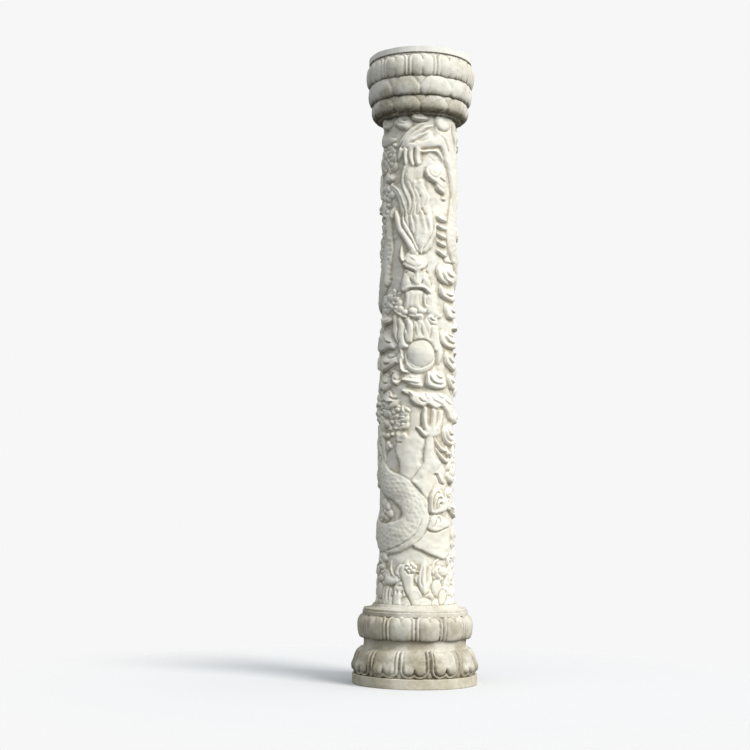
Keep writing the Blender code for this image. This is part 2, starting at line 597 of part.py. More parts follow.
def make_capital():
    low_foot = CAPITAL_FOOT + UNDERSIDE_HEIGHT
    high_foot = low_foot + LOW_ROLL_HEIGHT
    band_foot = high_foot + HIGH_ROLL_HEIGHT
    groove_foot = band_foot + PETAL_BAND_HEIGHT
    slab_foot = groove_foot + GROOVE_HEIGHT
    top = slab_foot + TOP_SLAB_HEIGHT
    groove_radius = TOP_SLAB_RADIUS - GROOVE_DEPTH
    outline = [(0, top), (TOP_SLAB_RADIUS, top), (TOP_SLAB_RADIUS, slab_foot), (groove_radius, slab_foot)]
    outline += band_rings(HIGH_ROLL_RADIUS - NOTCH_DEPTH, band_foot, PETAL_BAND_RADIUS,
                          band_foot + 0.55 * PETAL_BAND_HEIGHT, groove_radius, groove_foot, BAND_SHARES)
    outline += band_rings(LOW_ROLL_RADIUS - NOTCH_DEPTH, high_foot, HIGH_ROLL_RADIUS,
                          high_foot + 0.55 * HIGH_ROLL_HEIGHT, HIGH_ROLL_RADIUS - NOTCH_DEPTH, band_foot,
                          ROLL_SHARES)
    outline += band_rings(BED_RADIUS + LIP, low_foot, LOW_ROLL_RADIUS, low_foot + 0.5 * LOW_ROLL_HEIGHT,
                          LOW_ROLL_RADIUS - NOTCH_DEPTH, high_foot, ROLL_SHARES)
    outline += [(BED_RADIUS + LIP, low_foot), (BED_RADIUS, CAPITAL_FOOT), (0, CAPITAL_FOOT)]
    petalled("lotus_capital", outline, [
        (band_foot, groove_foot, upright_petal, PETALS, 17.5, PETAL_DEPTH),
        (high_foot, band_foot, roll_petal, ROLL_PETALS, 0, ROLL_PETAL_DEPTH),
        (low_foot, high_foot, roll_petal, ROLL_PETALS, 0, ROLL_PETAL_DEPTH)])


for old in list(bpy.data.objects):
    bpy.data.objects.remove(old, do_unlink=True)
stones = bpy.data.collections.new("dragon_pillar")
bpy.context.scene.collection.children.link(stones)
make_base()
make_shaft()
make_capital()
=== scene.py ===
"""Looks of the dragon pillar: three blocks of weathered white marble, carved all over.

The shaft's carving is drawn on a flat sheet that stands for the unrolled shaft, as heights over its
bare round. The base and the capital are turned from a worn profile and carry their petals as heights
along the profile's normal. Metres, +Z up, and the front of the pillar faces -Y.
"""
import math

import bpy
import numpy as np
from mathutils import Matrix


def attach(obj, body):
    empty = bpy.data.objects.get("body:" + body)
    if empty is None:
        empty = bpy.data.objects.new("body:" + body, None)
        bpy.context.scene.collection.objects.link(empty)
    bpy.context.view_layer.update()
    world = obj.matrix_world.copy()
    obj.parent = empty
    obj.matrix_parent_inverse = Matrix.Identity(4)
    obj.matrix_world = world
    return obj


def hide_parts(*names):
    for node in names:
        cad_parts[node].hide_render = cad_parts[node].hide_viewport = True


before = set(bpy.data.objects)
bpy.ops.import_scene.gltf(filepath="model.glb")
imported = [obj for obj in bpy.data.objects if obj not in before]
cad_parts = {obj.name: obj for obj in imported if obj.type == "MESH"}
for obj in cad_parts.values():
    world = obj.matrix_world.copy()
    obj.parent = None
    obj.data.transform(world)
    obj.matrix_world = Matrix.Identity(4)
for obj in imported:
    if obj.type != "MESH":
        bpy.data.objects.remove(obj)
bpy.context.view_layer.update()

# Driving sizes, the same as the solids'

SLAB_RADIUS = 0.588
SLAB_HEIGHT = 0.0915
LOWER_LOTUS_RADIUS = 0.579
LOWER_LOTUS_HEIGHT = 0.240
WAIST_RADIUS = 0.483
WAIST_HEIGHT = 0.100
UPPER_LOTUS_RADIUS = 0.536
UPPER_LOTUS_HEIGHT = 0.208
BEAD_RADIUS = 0.496
BEAD_HEIGHT = 0.065
HOLLOW_HEIGHT = 0.0405
SHAFT_RADIUS = 0.345
SHAFT_LENGTH = 4.6244
UNDERSIDE_HEIGHT = 0.030
LOW_ROLL_RADIUS = 0.459
LOW_ROLL_HEIGHT = 0.140
HIGH_ROLL_RADIUS = 0.491
HIGH_ROLL_HEIGHT = 0.175
PETAL_BAND_RADIUS = 0.514
PETAL_BAND_HEIGHT = 0.207
GROOVE_DEPTH = 0.018
GROOVE_HEIGHT = 0.020
TOP_SLAB_RADIUS = 0.500
TOP_SLAB_HEIGHT = 0.058
BED_GAP = 0.0003
BED_OVERHANG = 0.050
HOLLOW_SPREAD = 0.050
NOTCH_DEPTH = 0.018
LIP = 0.018
PETALS = 12
PETAL_DEPTH = 0.030
ROLL_PETALS = 10
ROLL_PETAL_DEPTH = 0.024
PETAL_SWAY = 0.8          # degrees by which the petals' joints stray
ROLL_SWAY = 2

# where each band is widest, in shares of its height

LOWER_LOTUS_WIDEST = 0.45
UPPER_LOTUS_WIDEST = 0.6
LOW_ROLL_WIDEST = 0.5
HIGH_ROLL_WIDEST = 0.55
PETAL_BAND_WIDEST = 0.55

# fine steps in the turned mouldings

LOTUS_TUCK = 0.012        # how much more than the lip the lower lotus draws in at its foot
ROLL_TUCK = 0.02
WAIST_FLARE = ((0.008, 0.010), (0.002, 0.028), (0, 0.050))      # outwards and upwards, at its foot
BEAD_STEPS = ((0, 0), (0, 0.036), (-0.009, 0.040), (-0.009, 0.058))
BEAD_TUCK = 0.016
COVE_RISE = 0.002

BASE_TOP = (SLAB_HEIGHT + LOWER_LOTUS_HEIGHT + WAIST_HEIGHT + UPPER_LOTUS_HEIGHT + BEAD_HEIGHT
            + HOLLOW_HEIGHT)
SHAFT_FOOT = BASE_TOP + BED_GAP
SHAFT_TOP = SHAFT_FOOT + SHAFT_LENGTH
CAPITAL_FOOT = SHAFT_TOP + BED_GAP
BED_RADIUS = SHAFT_RADIUS + BED_OVERHANG

SHAFT_GRAIN = 0.004       # the carving's cell
PROFILE_STEP = 0.003      # the step along a turned block's profile
TURNED_COLUMNS = 960
SHAFT_TRIANGLES = 196000
BLOCK_TRIANGLES = 170000

# The camera stands where the photographer stood, with the eye 1.6 m over the pillar's foot

EYE = (0, -14.166, 1.603)
PITCH, YAW, ROLL = 5.268, -1.647, 0.703         # degrees
SENSOR = 36               # millimetres
LENS = 71.04              # millimetres


def make_camera():
    """Looks along (sin yaw cos pitch, cos yaw cos pitch, sin pitch), rolled about that line."""
    pitch, yaw, roll = np.radians((PITCH, YAW, ROLL))
    ahead = np.array([math.sin(yaw) * math.cos(pitch), math.cos(yaw) * math.cos(pitch),
                      math.sin(pitch)])
    level = np.array([math.cos(yaw), -math.sin(yaw), 0])
    above = np.cross(level, ahead)
    right = level * math.cos(roll) + above * math.sin(roll)
    up = above * math.cos(roll) - level * math.sin(roll)
    camera = bpy.data.objects.new("camera", bpy.data.cameras.new("camera"))
    camera.data.sensor_width = SENSOR
    camera.data.lens = LENS
    turned = np.eye(4)
    turned[:3, 0], turned[:3, 1], turned[:3, 2], turned[:3, 3] = right, up, -ahead, EYE
    camera.matrix_world = Matrix(turned.tolist())
    bpy.context.scene.collection.objects.link(camera)
    bpy.context.scene.camera = camera


make_camera()


def smooth(t):
    """0 below 0, 1 above 1, and an even slope between."""
    t = np.clip(t, 0.0, 1.0)
    return t * t * (3 - 2 * t)


# The shaft's carving

CARVING_DEPTH = 0.030
UNIT = SHAFT_RADIUS / 100
DEGREES_PER_UNIT = math.degrees(UNIT / SHAFT_RADIUS)
PERCENT_PER_UNIT = UNIT / SHAFT_LENGTH * 100
CUT = 2.4                 # width of the cut that sets a form off from what lies behind it
CUT_FLOOR = 0.2           # what the cut leaves of the forms behind
GROUND_CUT = 0.16         # how far it goes below the bare ground, in shares of the carving's depth
FAR_OFF = 9.0             # half widths off a line, beyond the reach of any form along it
FADE_RIGHT, FADE_UP = 0.6, 0.8      # the way in which flat forms sink and run out, one unit long
SCALE_PITCH = 13.0        # from one row of a body's scales to the next, in hundredths of the radius
BELLY_EDGE = 0.74         # where the belly plates start, in shares of the body's half width
FIN_WIDTH = 0.32          # in the same shares
FINGERS = 5
FINGER_SPREAD = 110       # degrees between a claw's outer fingers
CREST_RINGS = 2.5         # how often the space between a wave crest's grooves goes into its radius
GROUND_SWELL = 0.0012     # how uneven the bare ground is


def blurred(field, reach, step):
    """A field averaged twice over squares of the reach each way, in metres. It wraps round sideways."""
    for _ in range(2):
        for axis in (0, 1):
            half = max(1, round(reach / step[1 - axis]))
            edges = [(half + 1, half) if i == axis else (0, 0) for i in (0, 1)]
            total = np.cumsum(np.pad(field, edges, mode="wrap" if axis else "edge"), axis=axis)
            size = field.shape[axis]
            high = np.take(total, np.arange(2 * half + 1, 2 * half + 1 + size), axis=axis)
            low = np.take(total, np.arange(size), axis=axis)
            field = (high - low) / (2 * half + 1)
    return field


def unevenness(seed, shape, reach, step):
    """Blurred noise over a sheet, with a spread of 1."""
    field = blurred(np.random.default_rng(seed).standard_normal(shape), reach, step)
    return field / field.std()


class Sheet:
    """The face of the shaft unrolled flat: a grid of heights in metres, which wraps round sideways."""

    def __init__(self, grain):
        girth = 2 * math.pi * SHAFT_RADIUS
        self.columns = round(girth / grain)
        self.rows = round(SHAFT_LENGTH / grain) + 1
        self.step = np.array([girth / self.columns, SHAFT_LENGTH / (self.rows - 1)])
        self.height = np.zeros((self.rows, self.columns))

    @staticmethod
    def place(spots):
        """(degrees from the front, percent up the shaft) to metres on the sheet."""
        spots = np.asarray(spots, float)
        across = np.radians(spots[..., 0]) * SHAFT_RADIUS
        return np.stack([across, spots[..., 1] / 100 * SHAFT_LENGTH], -1)

    def window(self, low, high):
        """The rows and columns between two corners, and each cell's place in metres."""
        first = np.floor(np.asarray(low) / self.step).astype(int)
        last = np.ceil(np.asarray(high) / self.step).astype(int)
        columns = np.arange(first[0], min(last[0], first[0] + self.columns - 1) + 1)
        bottom, top = np.clip((first[1], last[1]), 0, self.rows - 1)
        rows = np.arange(bottom, top + 1)
        x, y = np.meshgrid(columns * self.step[0], rows * self.step[1])
        return rows, columns, x, y

    def lay(self, rows, columns, outside, top, cut=CUT, over=False):
        """Lays a form where outside < 0. Round it the old heights sink into a cut. With over, the form
        keeps whatever is already higher."""
        cells = np.ix_(rows, columns % self.columns)
        old = self.height[cells]
        if cut:
            near = outside / (cut * UNIT)
            sunk = old * (CUT_FLOOR + (1 - CUT_FLOOR) * smooth(near))
            sunk = sunk - GROUND_CUT * CARVING_DEPTH * (1 - smooth(near))
            old = np.where((near > 0) & (near < 1), np.minimum(old, sunk), old)
        self.height[cells] = np.where(outside < 0, np.maximum(old, top) if over else top, old)

    def add(self, rows, columns, change):
        self.height[np.ix_(rows, columns % self.columns)] += change

    def wander(self, reach, stray):
        """Shifts each cell by smooth noise, so that every line strays as if cut by eye."""
        rows, columns = np.indices(self.height.shape).astype(float)
        columns += unevenness(11, self.height.shape, reach, self.step) * stray / self.step[0]
        rows += unevenness(12, self.height.shape, reach, self.step) * stray / self.step[1]
        rows = np.clip(rows, 0, self.rows - 1.001)
        row, column = np.floor(rows).astype(int), np.floor(columns).astype(int)
        up, right = rows - row, columns - column
        here, after = column % self.columns, (column + 1) % self.columns
        low = self.height[row, here] * (1 - right) + self.height[row, after] * right
        high = self.height[row + 1, here] * (1 - right) + self.height[row + 1, after] * right
        self.height = low * (1 - up) + high * up

    def wear(self, least, most, reach):
        """Rounds the carving off by a blur, of least metres in shelter and of most where worn."""
        share = smooth(0.5 + 0.4 * unevenness(13, self.height.shape, reach, self.step))
        crisp, worn = (blurred(self.height, amount, self.step) for amount in (least, most))
        self.height = crisp * (1 - share) + worn * share


def curve(sheet, keys, steps=8):
    """A Catmull-Rom line through (degrees, percent, half width): points and half widths in metres."""
    keys = np.asarray(keys, float)
    keys = np.column_stack([sheet.place(keys[:, :2]), keys[:, 2] * UNIT])
    keys = np.concatenate([[2 * keys[0] - keys[1]], keys, [2 * keys[-1] - keys[-2]]])
    t = np.arange(steps)[:, None] / steps
    runs = []
    for a, b, c, d in zip(keys[:-3], keys[1:-2], keys[2:-1], keys[3:]):
        runs.append(b + (c - a) * t / 2 + (2 * a - 5 * b + 4 * c - d) * t ** 2 / 2
                    + (3 * b - a - 3 * c + d) * t ** 3 / 2)
    line = np.concatenate(runs + [keys[-2:-1]])
    return line[:, :2], np.maximum(line[:, 2], UNIT / 4)


def trace(sheet, points, halves, margin):
    """For each cell near a line: how far it lies off the line (1 at the bar's edge), metres along the
    line, which side (1 left, -1 right) and the half width there. Each piece of the line looks only at
    the cells round itself, and the nearest piece wins."""
    pad = halves.max() + margin
    rows, columns, x, y = sheet.window(points.min(0) - pad, points.max(0) + pad)
    off = np.full(x.shape, FAR_OFF)
    along, side, half = np.zeros(x.shape), np.ones(x.shape), np.full(x.shape, halves.max())
    lengths = np.hypot(*np.diff(points, axis=0).T)
    starts = np.concatenate([[0], np.cumsum(lengths)])
    for i, length in enumerate(lengths):
        a, b = points[i], points[i + 1]
        reach = max(halves[i], halves[i + 1]) + margin
        low = np.floor((np.minimum(a, b) - reach) / sheet.step).astype(int)
        high = np.ceil((np.maximum(a, b) + reach) / sheet.step).astype(int)
        top, bottom = max(low[1] - rows[0], 0), min(high[1] - rows[0] + 1, len(rows))
        left, right = max(low[0] - columns[0], 0), min(high[0] - columns[0] + 1, len(columns))
        if top >= bottom or left >= right:
            continue
        box = np.s_[top:bottom, left:right]
        ahead = (b - a) / length
        t = np.clip(((x[box] - a[0]) * ahead[0] + (y[box] - a[1]) * ahead[1]) / length, 0, 1)
        dx = x[box] - a[0] - ahead[0] * t * length
        dy = y[box] - a[1] - ahead[1] * t * length
        width = halves[i] + (halves[i + 1] - halves[i]) * t
        here = np.hypot(dx, dy) / width
        nearer = here < off[box]
        off[box] = np.where(nearer, here, off[box])
        along[box] = np.where(nearer, starts[i] + t * length, along[box])
        side[box] = np.where(nearer, np.sign(ahead[0] * dy - ahead[1] * dx), side[box])
        half[box] = np.where(nearer, width, half[box])
    return rows, columns, off, along, side, half


# Sections: the height of a bar across its width, 1 on its line and 0 at its edge, off = 1


def plump(off):
    return np.sqrt(np.clip(1 - off ** 2, 0, 1))


def slabbed(off):
    return np.sqrt(np.clip(1 - off ** 5, 0, 1))


def keeled(off):
    return np.clip(1 - off, 0, 1) ** 0.7


def cupped(off):
    """A rounded rim at three quarters of the half width, round a shallow trough."""
    rim = np.sqrt(np.clip(1 - ((off - 0.72) / 0.28) ** 2, 0, 1))
    return np.where(off < 0.72, 0.62 + 0.38 * (off / 0.72) ** 3, rim)


def bar(sheet, keys, rise, foot=0.0, section=plump, strands=0, cut=CUT, over=False, steps=8):
    """A bar along a smooth line, from foot to rise in shares of the carving's depth, lower where it is
    thin. With strands, grooves run along it and divide its width evenly."""
    points, halves = curve(sheet, keys, steps)
    rows, columns, off, _, side, half = trace(sheet, points, halves, (cut + 1) * UNIT)
    inner = np.clip(off, 0, 1)
    top = foot + (rise - foot) * section(inner)
    if strands:
        phase = (inner * side + 1) / 2 * strands
        near = np.abs(phase - np.round(phase)) * 2
        top = top - 0.24 * rise * (1 - smooth(near / 0.6)) * smooth((0.96 - inner) / 0.1)
    top = top * np.minimum(1, 0.6 + 0.4 * half / (0.6 * halves.max()))
    sheet.lay(rows, columns, (off - 1) * half, CARVING_DEPTH * top, cut, over)


def boss(sheet, spot, radii, rise, foot=0.0, tilt=0.0, section=plump, cut=CUT, over=False):
    """An oval knob, its radii in hundredths of the shaft's radius."""
    rows, columns, off = oval(sheet, spot, radii, tilt, cut)
    top = CARVING_DEPTH * (foot + (rise - foot) * section(np.clip(off, 0, 1)))
    sheet.lay(rows, columns, (off - 1) * min(radii) * UNIT, top, cut, over)


def dent(sheet, spot, radii, depth, tilt=0.0):
    """An oval hollow with soft edges."""
    rows, columns, off = oval(sheet, spot, radii, tilt, 0)
    sheet.add(rows, columns, -CARVING_DEPTH * depth * smooth((1 - off) * 1.4))


def oval(sheet, spot, radii, tilt, margin):
    """The cells round an oval, and how far from its middle each lies, in shares of the radius there."""
    x0, y0 = sheet.place(spot)
    reach = (max(radii) + margin + 2) * UNIT
    rows, columns, x, y = sheet.window((x0 - reach, y0 - reach), (x0 + reach, y0 + reach))
    turn = math.radians(tilt)
    u = ((x - x0) * math.cos(turn) + (y - y0) * math.sin(turn)) / (radii[0] * UNIT)
    v = ((y - y0) * math.cos(turn) - (x - x0) * math.sin(turn)) / (radii[1] * UNIT)
    return rows, columns, np.hypot(u, v)


def groove(sheet, keys, depth):
    """A cut along a line, deepest in its middle."""
    points, halves = curve(sheet, keys)
    rows, columns, off, *_ = trace(sheet, points, halves, UNIT)
    sheet.add(rows, columns, -CARVING_DEPTH * depth * smooth((1 - off) * 1.3))


def slab(sheet, outline, rise, rim=7.0, lean=0.2, foot=0.35, cut=CUT, fade=3.0):
    """A flat form inside a smooth closed outline of (degrees, percent). Its edge is cut sharp and
    deep where it faces down and to the left, and there its top stands highest. Towards the upper
    right it sinks by the share lean and runs out into what lies behind it, over the rim's width and
    fade times that again."""
    corners = sheet.place(outline)
    t = np.arange(5)[:, None] / 5
    runs = []
    for i in range(len(corners)):
        a, b, c, d = (corners[(i + k) % len(corners)] for k in range(4))
        runs.append(b + (c - a) * t / 2 + (2 * a - 5 * b + 4 * c - d) * t ** 2 / 2
                    + (3 * b - a - 3 * c + d) * t ** 3 / 2)
    line = np.concatenate(runs)
    pad = (cut + 1) * UNIT
    rows, columns, x, y = sheet.window(line.min(0) - pad, line.max(0) + pad)
    away, facing = np.full(x.shape, np.inf), np.zeros(x.shape)
    inside = np.zeros(x.shape, bool)
    for (x0, y0), (x1, y1) in zip(line, np.roll(line, -1, axis=0)):
        length = max((x1 - x0) ** 2 + (y1 - y0) ** 2, 1e-12)
        share = np.clip(((x - x0) * (x1 - x0) + (y - y0) * (y1 - y0)) / length, 0, 1)
        dx, dy = x - x0 - share * (x1 - x0), y - y0 - share * (y1 - y0)
        here = np.hypot(dx, dy)
        nearer = here < away
        away = np.where(nearer, here, away)
        facing = np.where(nearer, -(FADE_RIGHT * dx + FADE_UP * dy) / np.maximum(here, 1e-9), facing)
        if y0 != y1:
            inside ^= ((y0 > y) != (y1 > y)) & (x < x0 + (y - y0) * (x1 - x0) / (y1 - y0))
    keen = smooth(0.62 + 0.62 * np.where(inside, -facing, facing))
    inset = np.where(inside, away, 0) / (rim * UNIT * (1 + fade * (1 - keen)))
    diagonal = FADE_RIGHT * line[:, 0] + FADE_UP * line[:, 1]
    down = (diagonal.mean() - FADE_RIGHT * x - FADE_UP * y) / (np.ptp(diagonal) / 2)
    top = rise * (foot + (1 - foot) * plump(1 - np.clip(inset, 0, 1)))
    top = top * (1 + lean * np.clip(down, -1, 1))
    old = sheet.height[np.ix_(rows, columns % sheet.columns)]
    share = keen + (1 - keen) * smooth(inset)
    outside = np.where(inside, -away, away / np.maximum(keen, 0.1))
    sheet.lay(rows, columns, outside, old * (1 - share) + CARVING_DEPTH * top * share, cut)


def leaf(sheet, keys, rise, **more):
    """A slab round a line of (degrees, percent, half width), pointed where the width runs out."""
    points = sheet.place(np.asarray(keys, float)[:, :2])
    ways = np.gradient(points, axis=0)
    ways = ways / np.hypot(*ways.T)[:, None]
    out = np.column_stack([-ways[:, 1], ways[:, 0]]) * np.asarray(keys, float)[:, 2:] * UNIT
    round_it = np.concatenate([points + out, (points - out)[::-1]])
    outline = np.column_stack([np.degrees(round_it[:, 0] / SHAFT_RADIUS),
                               round_it[:, 1] / SHAFT_LENGTH * 100])
    slab(sheet, outline, rise, **more)


def ledge(sheet, spots, wide=2.2, rise=0.3, spread=14.0, cut=0.5):
    """Where one form lies over another, along a line of (degrees, percent). On the line's left the
    stone swells up to the edge over the spread, and just to its right it is cut down. Both die out
    at the ends."""
    points, halves = curve(sheet, [(*spot, wide) for spot in spots])
    rows, columns, off, along, side, half = trace(sheet, points, halves, spread * UNIT)
    length = np.hypot(*np.diff(points, axis=0).T).sum()
    fade = smooth(along / (0.15 * length)) * smooth((length - along) / (0.15 * length))
    beside = off * half * side
    swell = rise * (1 - smooth(beside / (spread * UNIT))) * smooth(beside / UNIT + 0.5)
    trench = cut * (1 - smooth(np.abs(beside / half + 0.7)))
    sheet.add(rows, columns, CARVING_DEPTH * fade * (swell - trench))


def around(spot, angle, distance):
    """The spot at an angle and a distance, in hundredths of the radius, from another."""
    turn = math.radians(angle)
    return (spot[0] + math.cos(turn) * distance * DEGREES_PER_UNIT,
            spot[1] + math.sin(turn) * distance * PERCENT_PER_UNIT)


# Clouds


def scroll(sheet, spot, size, turn, hand, rise=0.85, tail=1.0):
    """A round scroll. One groove winds in once from a notch in the rim towards a boss in the middle, so
    its distance from the middle grows evenly with the angle, and so does the rim's. The outer bead then
    leaves the notch as a tail that swings outwards."""
    x0, y0 = sheet.place(spot)
    radius = size * UNIT
    reach = radius + (CUT + 2) * UNIT
    rows, columns, x, y = sheet.window((x0 - reach, y0 - reach), (x0 + reach, y0 + reach))
    away = np.hypot(x - x0, y - y0) / radius
    angle = np.arctan2(y - y0, x - x0) - math.radians(turn)
    angle = np.mod(hand * angle, 2 * math.pi) / (2 * math.pi)
    rim = 0.82 + 0.18 * angle
    off = away / rim
    top = 0.4 + 0.6 * slabbed(np.clip(off, 0, 1)) - 0.12 * np.clip(away, 0, 1)
    from_groove = np.abs(away - 0.32 - 0.50 * angle)
    top = top - 0.46 * (1 - smooth(from_groove / 0.17)) * smooth(angle / 0.1) * smooth((1 - off) / 0.12)
    top = top + 0.10 * plump(np.clip(away / 0.3, 0, 1))
    sheet.lay(rows, columns, (off - 1) * radius, CARVING_DEPTH * rise * top)
    if tail:
        keys = []
        for i in range(5):
            run = i / 4
            swing = turn + hand * (-32 + 96 * run * tail)
            keys.append((*around(spot, swing, size * (0.82 + 0.95 * tail * run ** 1.5)),
                         size * (0.19 - 0.15 * run)))
        bar(sheet, keys, rise * 0.85, foot=rise * 0.2)


def puff(sheet, spot, size, hand, rise=1.0, turn=0.0):
    """A cloud like a shell: a broad head with a tail out to the hand's side, cut deep round its
    underside, and a smaller shell and a boss within it."""
    for share, shift, level in ((1, 0, rise), (0.6, 0.12, rise * 1.1), (0.28, 0.2, rise * 1.15)):
        outline = []
        for way, reach in ((-160, 0.95), (-120, 0.86), (-75, 0.82), (-35, 0.9), (-12, 1.15), (4, 1.7),
                           (14, 1.6), (35, 0.95), (75, 0.8), (115, 0.86), (155, 0.98)):
            if share < 1:
                reach = min(reach, 1.0)
            lift = (math.sin(math.radians(way)) * reach * 0.8 * share + shift * 0.7) * size
            across = (math.cos(math.radians(way)) * reach * share + shift) * size * hand
            outline.append(turned(spot, across, lift, turn))
        slab(sheet, outline, level, rim=5, lean=0.25, cut=CUT * (0.4 + 0.6 * share))


def turned(spot, across, up, turn):
    """The spot so far across and up from another, in hundredths of the radius, on turned axes."""
    bend = math.radians(turn)
    return (spot[0] + (across * math.cos(bend) - up * math.sin(bend)) * DEGREES_PER_UNIT,
            spot[1] + (across * math.sin(bend) + up * math.cos(bend)) * PERCENT_PER_UNIT)


def cloud(sheet, spot, size, turn, hand, rise=0.85, lobes=1):
    """A large scroll in front of smaller ones."""
    for i in range(lobes):
        way = turn + hand * (115 + 62 * i)
        scroll(sheet, around(spot, way, size * 1.12), size * (0.66 - 0.10 * i), way + 70 * hand, hand,
               rise * (0.85 - 0.08 * i), tail=0.8 * (i == lobes - 1))
    scroll(sheet, spot, size, turn, hand, rise)


# The dragons' forms


def body(sheet, keys, rise, belly_side, cut=CUT):
    """A round body in rows of overlapping scales. Each scale is a round-ended tongue that starts under
    the row before and rises towards its end. One flank carries plain belly plates behind a groove."""
    points, halves = curve(sheet, keys, 14)
    rows, columns, off, along, side, half = trace(sheet, points, halves, (CUT + 1) * UNIT)
    inner = np.clip(off, 0, 1)
    across = inner * side
    top = rise * (0.3 + 0.7 * np.clip(1 - inner ** 2, 0, 1) ** 0.45)
    pitch = SCALE_PITCH * UNIT
    lane = np.arcsin(across) / (math.pi / 2) * halves.max() / pitch * 1.4
    row = along / pitch

    def tongue(number):
        """The end of a row's scales, in rows, from the row's start."""
        place = lane + 0.5 * np.mod(number, 2)
        return 1 + 0.6 * (1 - (2 * (place - np.floor(place)) - 1) ** 2)

    number = np.floor(row)
    before = tongue(number - 1)
    covered = row < number - 1 + before
    lift = np.where(covered, (row - number + 1) / before, (row - number) / tongue(number))
    belly = across * belly_side > BELLY_EDGE
    scales = 0.32 * (lift - 0.6)
    plates = 0.12 * (np.mod(along / (pitch * 0.9), 1) - 0.5)
    top = top + np.where(belly, plates, scales) * smooth((0.98 - inner) / 0.15)
    top = top - 0.16 * (1 - smooth(np.abs(across * belly_side - BELLY_EDGE) / 0.06))
    sheet.lay(rows, columns, (off - 1) * half, CARVING_DEPTH * top, cut)
    return points, halves


def fins(sheet, points, halves, side, pitch, size):
    """A row of pointed fins along one edge of a body, leaning back along it."""
    run = np.concatenate([[0], np.cumsum(np.hypot(*np.diff(points, axis=0).T))])
    count = int(run[-1] / (pitch * UNIT))
    for i in range(1, count):
        along = run[-1] * i / count
        here = np.array([np.interp(along, run, points[:, k]) for k in (0, 1)])
        ahead = np.array([np.interp(along + UNIT, run, points[:, k]) for k in (0, 1)]) - here
        ahead = ahead / np.hypot(*ahead)
        out = np.array([-ahead[1], ahead[0]]) * side
        half = np.interp(along, run, halves)
        keys = []
        for reach, lean, width in ((1 - size, 0.0, FIN_WIDTH),
                                   (1 + size * 0.5, size * 0.3, FIN_WIDTH * 0.7),
                                   (1 + size, size * 1.1, 0.05)):
            spot = here + (out * reach + ahead * lean) * half
            keys.append((math.degrees(spot[0] / SHAFT_RADIUS), spot[1] / SHAFT_LENGTH * 100,
                         half * width / UNIT))
        bar(sheet, keys, 0.8, foot=0.2, section=keeled, steps=4)


def claw(sheet, spot, aim, size):
    """A claw: fingers with a knuckle each that fan out from the palm and end in hooked nails."""
    for i in range(FINGERS):
        lean = i / (FINGERS - 1) * 2 - 1
        length = size * (2.1 - 0.35 * lean ** 2)
        keys = []
        for reach, width in ((0.12, 0.30), (0.36, 0.27), (0.5, 0.31), (0.68, 0.22), (0.84, 0.20),
                             (1.0, 0.06)):
            way = aim + lean * (FINGER_SPREAD / 2 + 24 * (reach - 0.4))
            keys.append((*around(spot, way, length * reach), size * width))
        bar(sheet, keys, 1.0, foot=0.25, cut=1.6, steps=4)
    boss(sheet, spot, (size * 0.55, size * 0.46), 1.05, foot=0.3, tilt=aim - 90, cut=0, over=True)


def limb(sheet, keys, aim, size):
    """A leg along its keys with a claw at its end, and rows of scales that fade out towards it."""
    claw(sheet, around(keys[-1][:2], aim, 1.5), aim, size)
    bar(sheet, keys, 1.05, foot=0.35)
    for i in range(4):
        t = (i + 0.5) / 4 * 0.5 * (len(keys) - 1)
        k = int(t)
        a, b = np.array(keys[k]), np.array(keys[k + 1])
        here = a + (b - a) * (t - k)
        across, up = (b[0] - a[0]) / DEGREES_PER_UNIT, (b[1] - a[1]) / PERCENT_PER_UNIT
        way = math.degrees(math.atan2(up, across))
        arc = []
        for bend in (-60, -30, 0, 30, 60):
            arc.append((*around(here[:2], way + bend, here[2] * 0.72), 1.0))
        groove(sheet, arc, 0.10)


def tress(sheet, spots, width):
    """A wavy lock of mane that swells and then runs out to a point, cut along into strands."""
    last = len(spots) - 1
    keys = []
    for i, (angle, percent) in enumerate(spots):
        t = i / last
        keys.append((angle, percent, width * (0.7 + 2.2 * t * (1 - t)) * (1 - t ** 3) + 1.2))
    bar(sheet, keys, 0.85, foot=0.2, strands=3, cut=1.6)


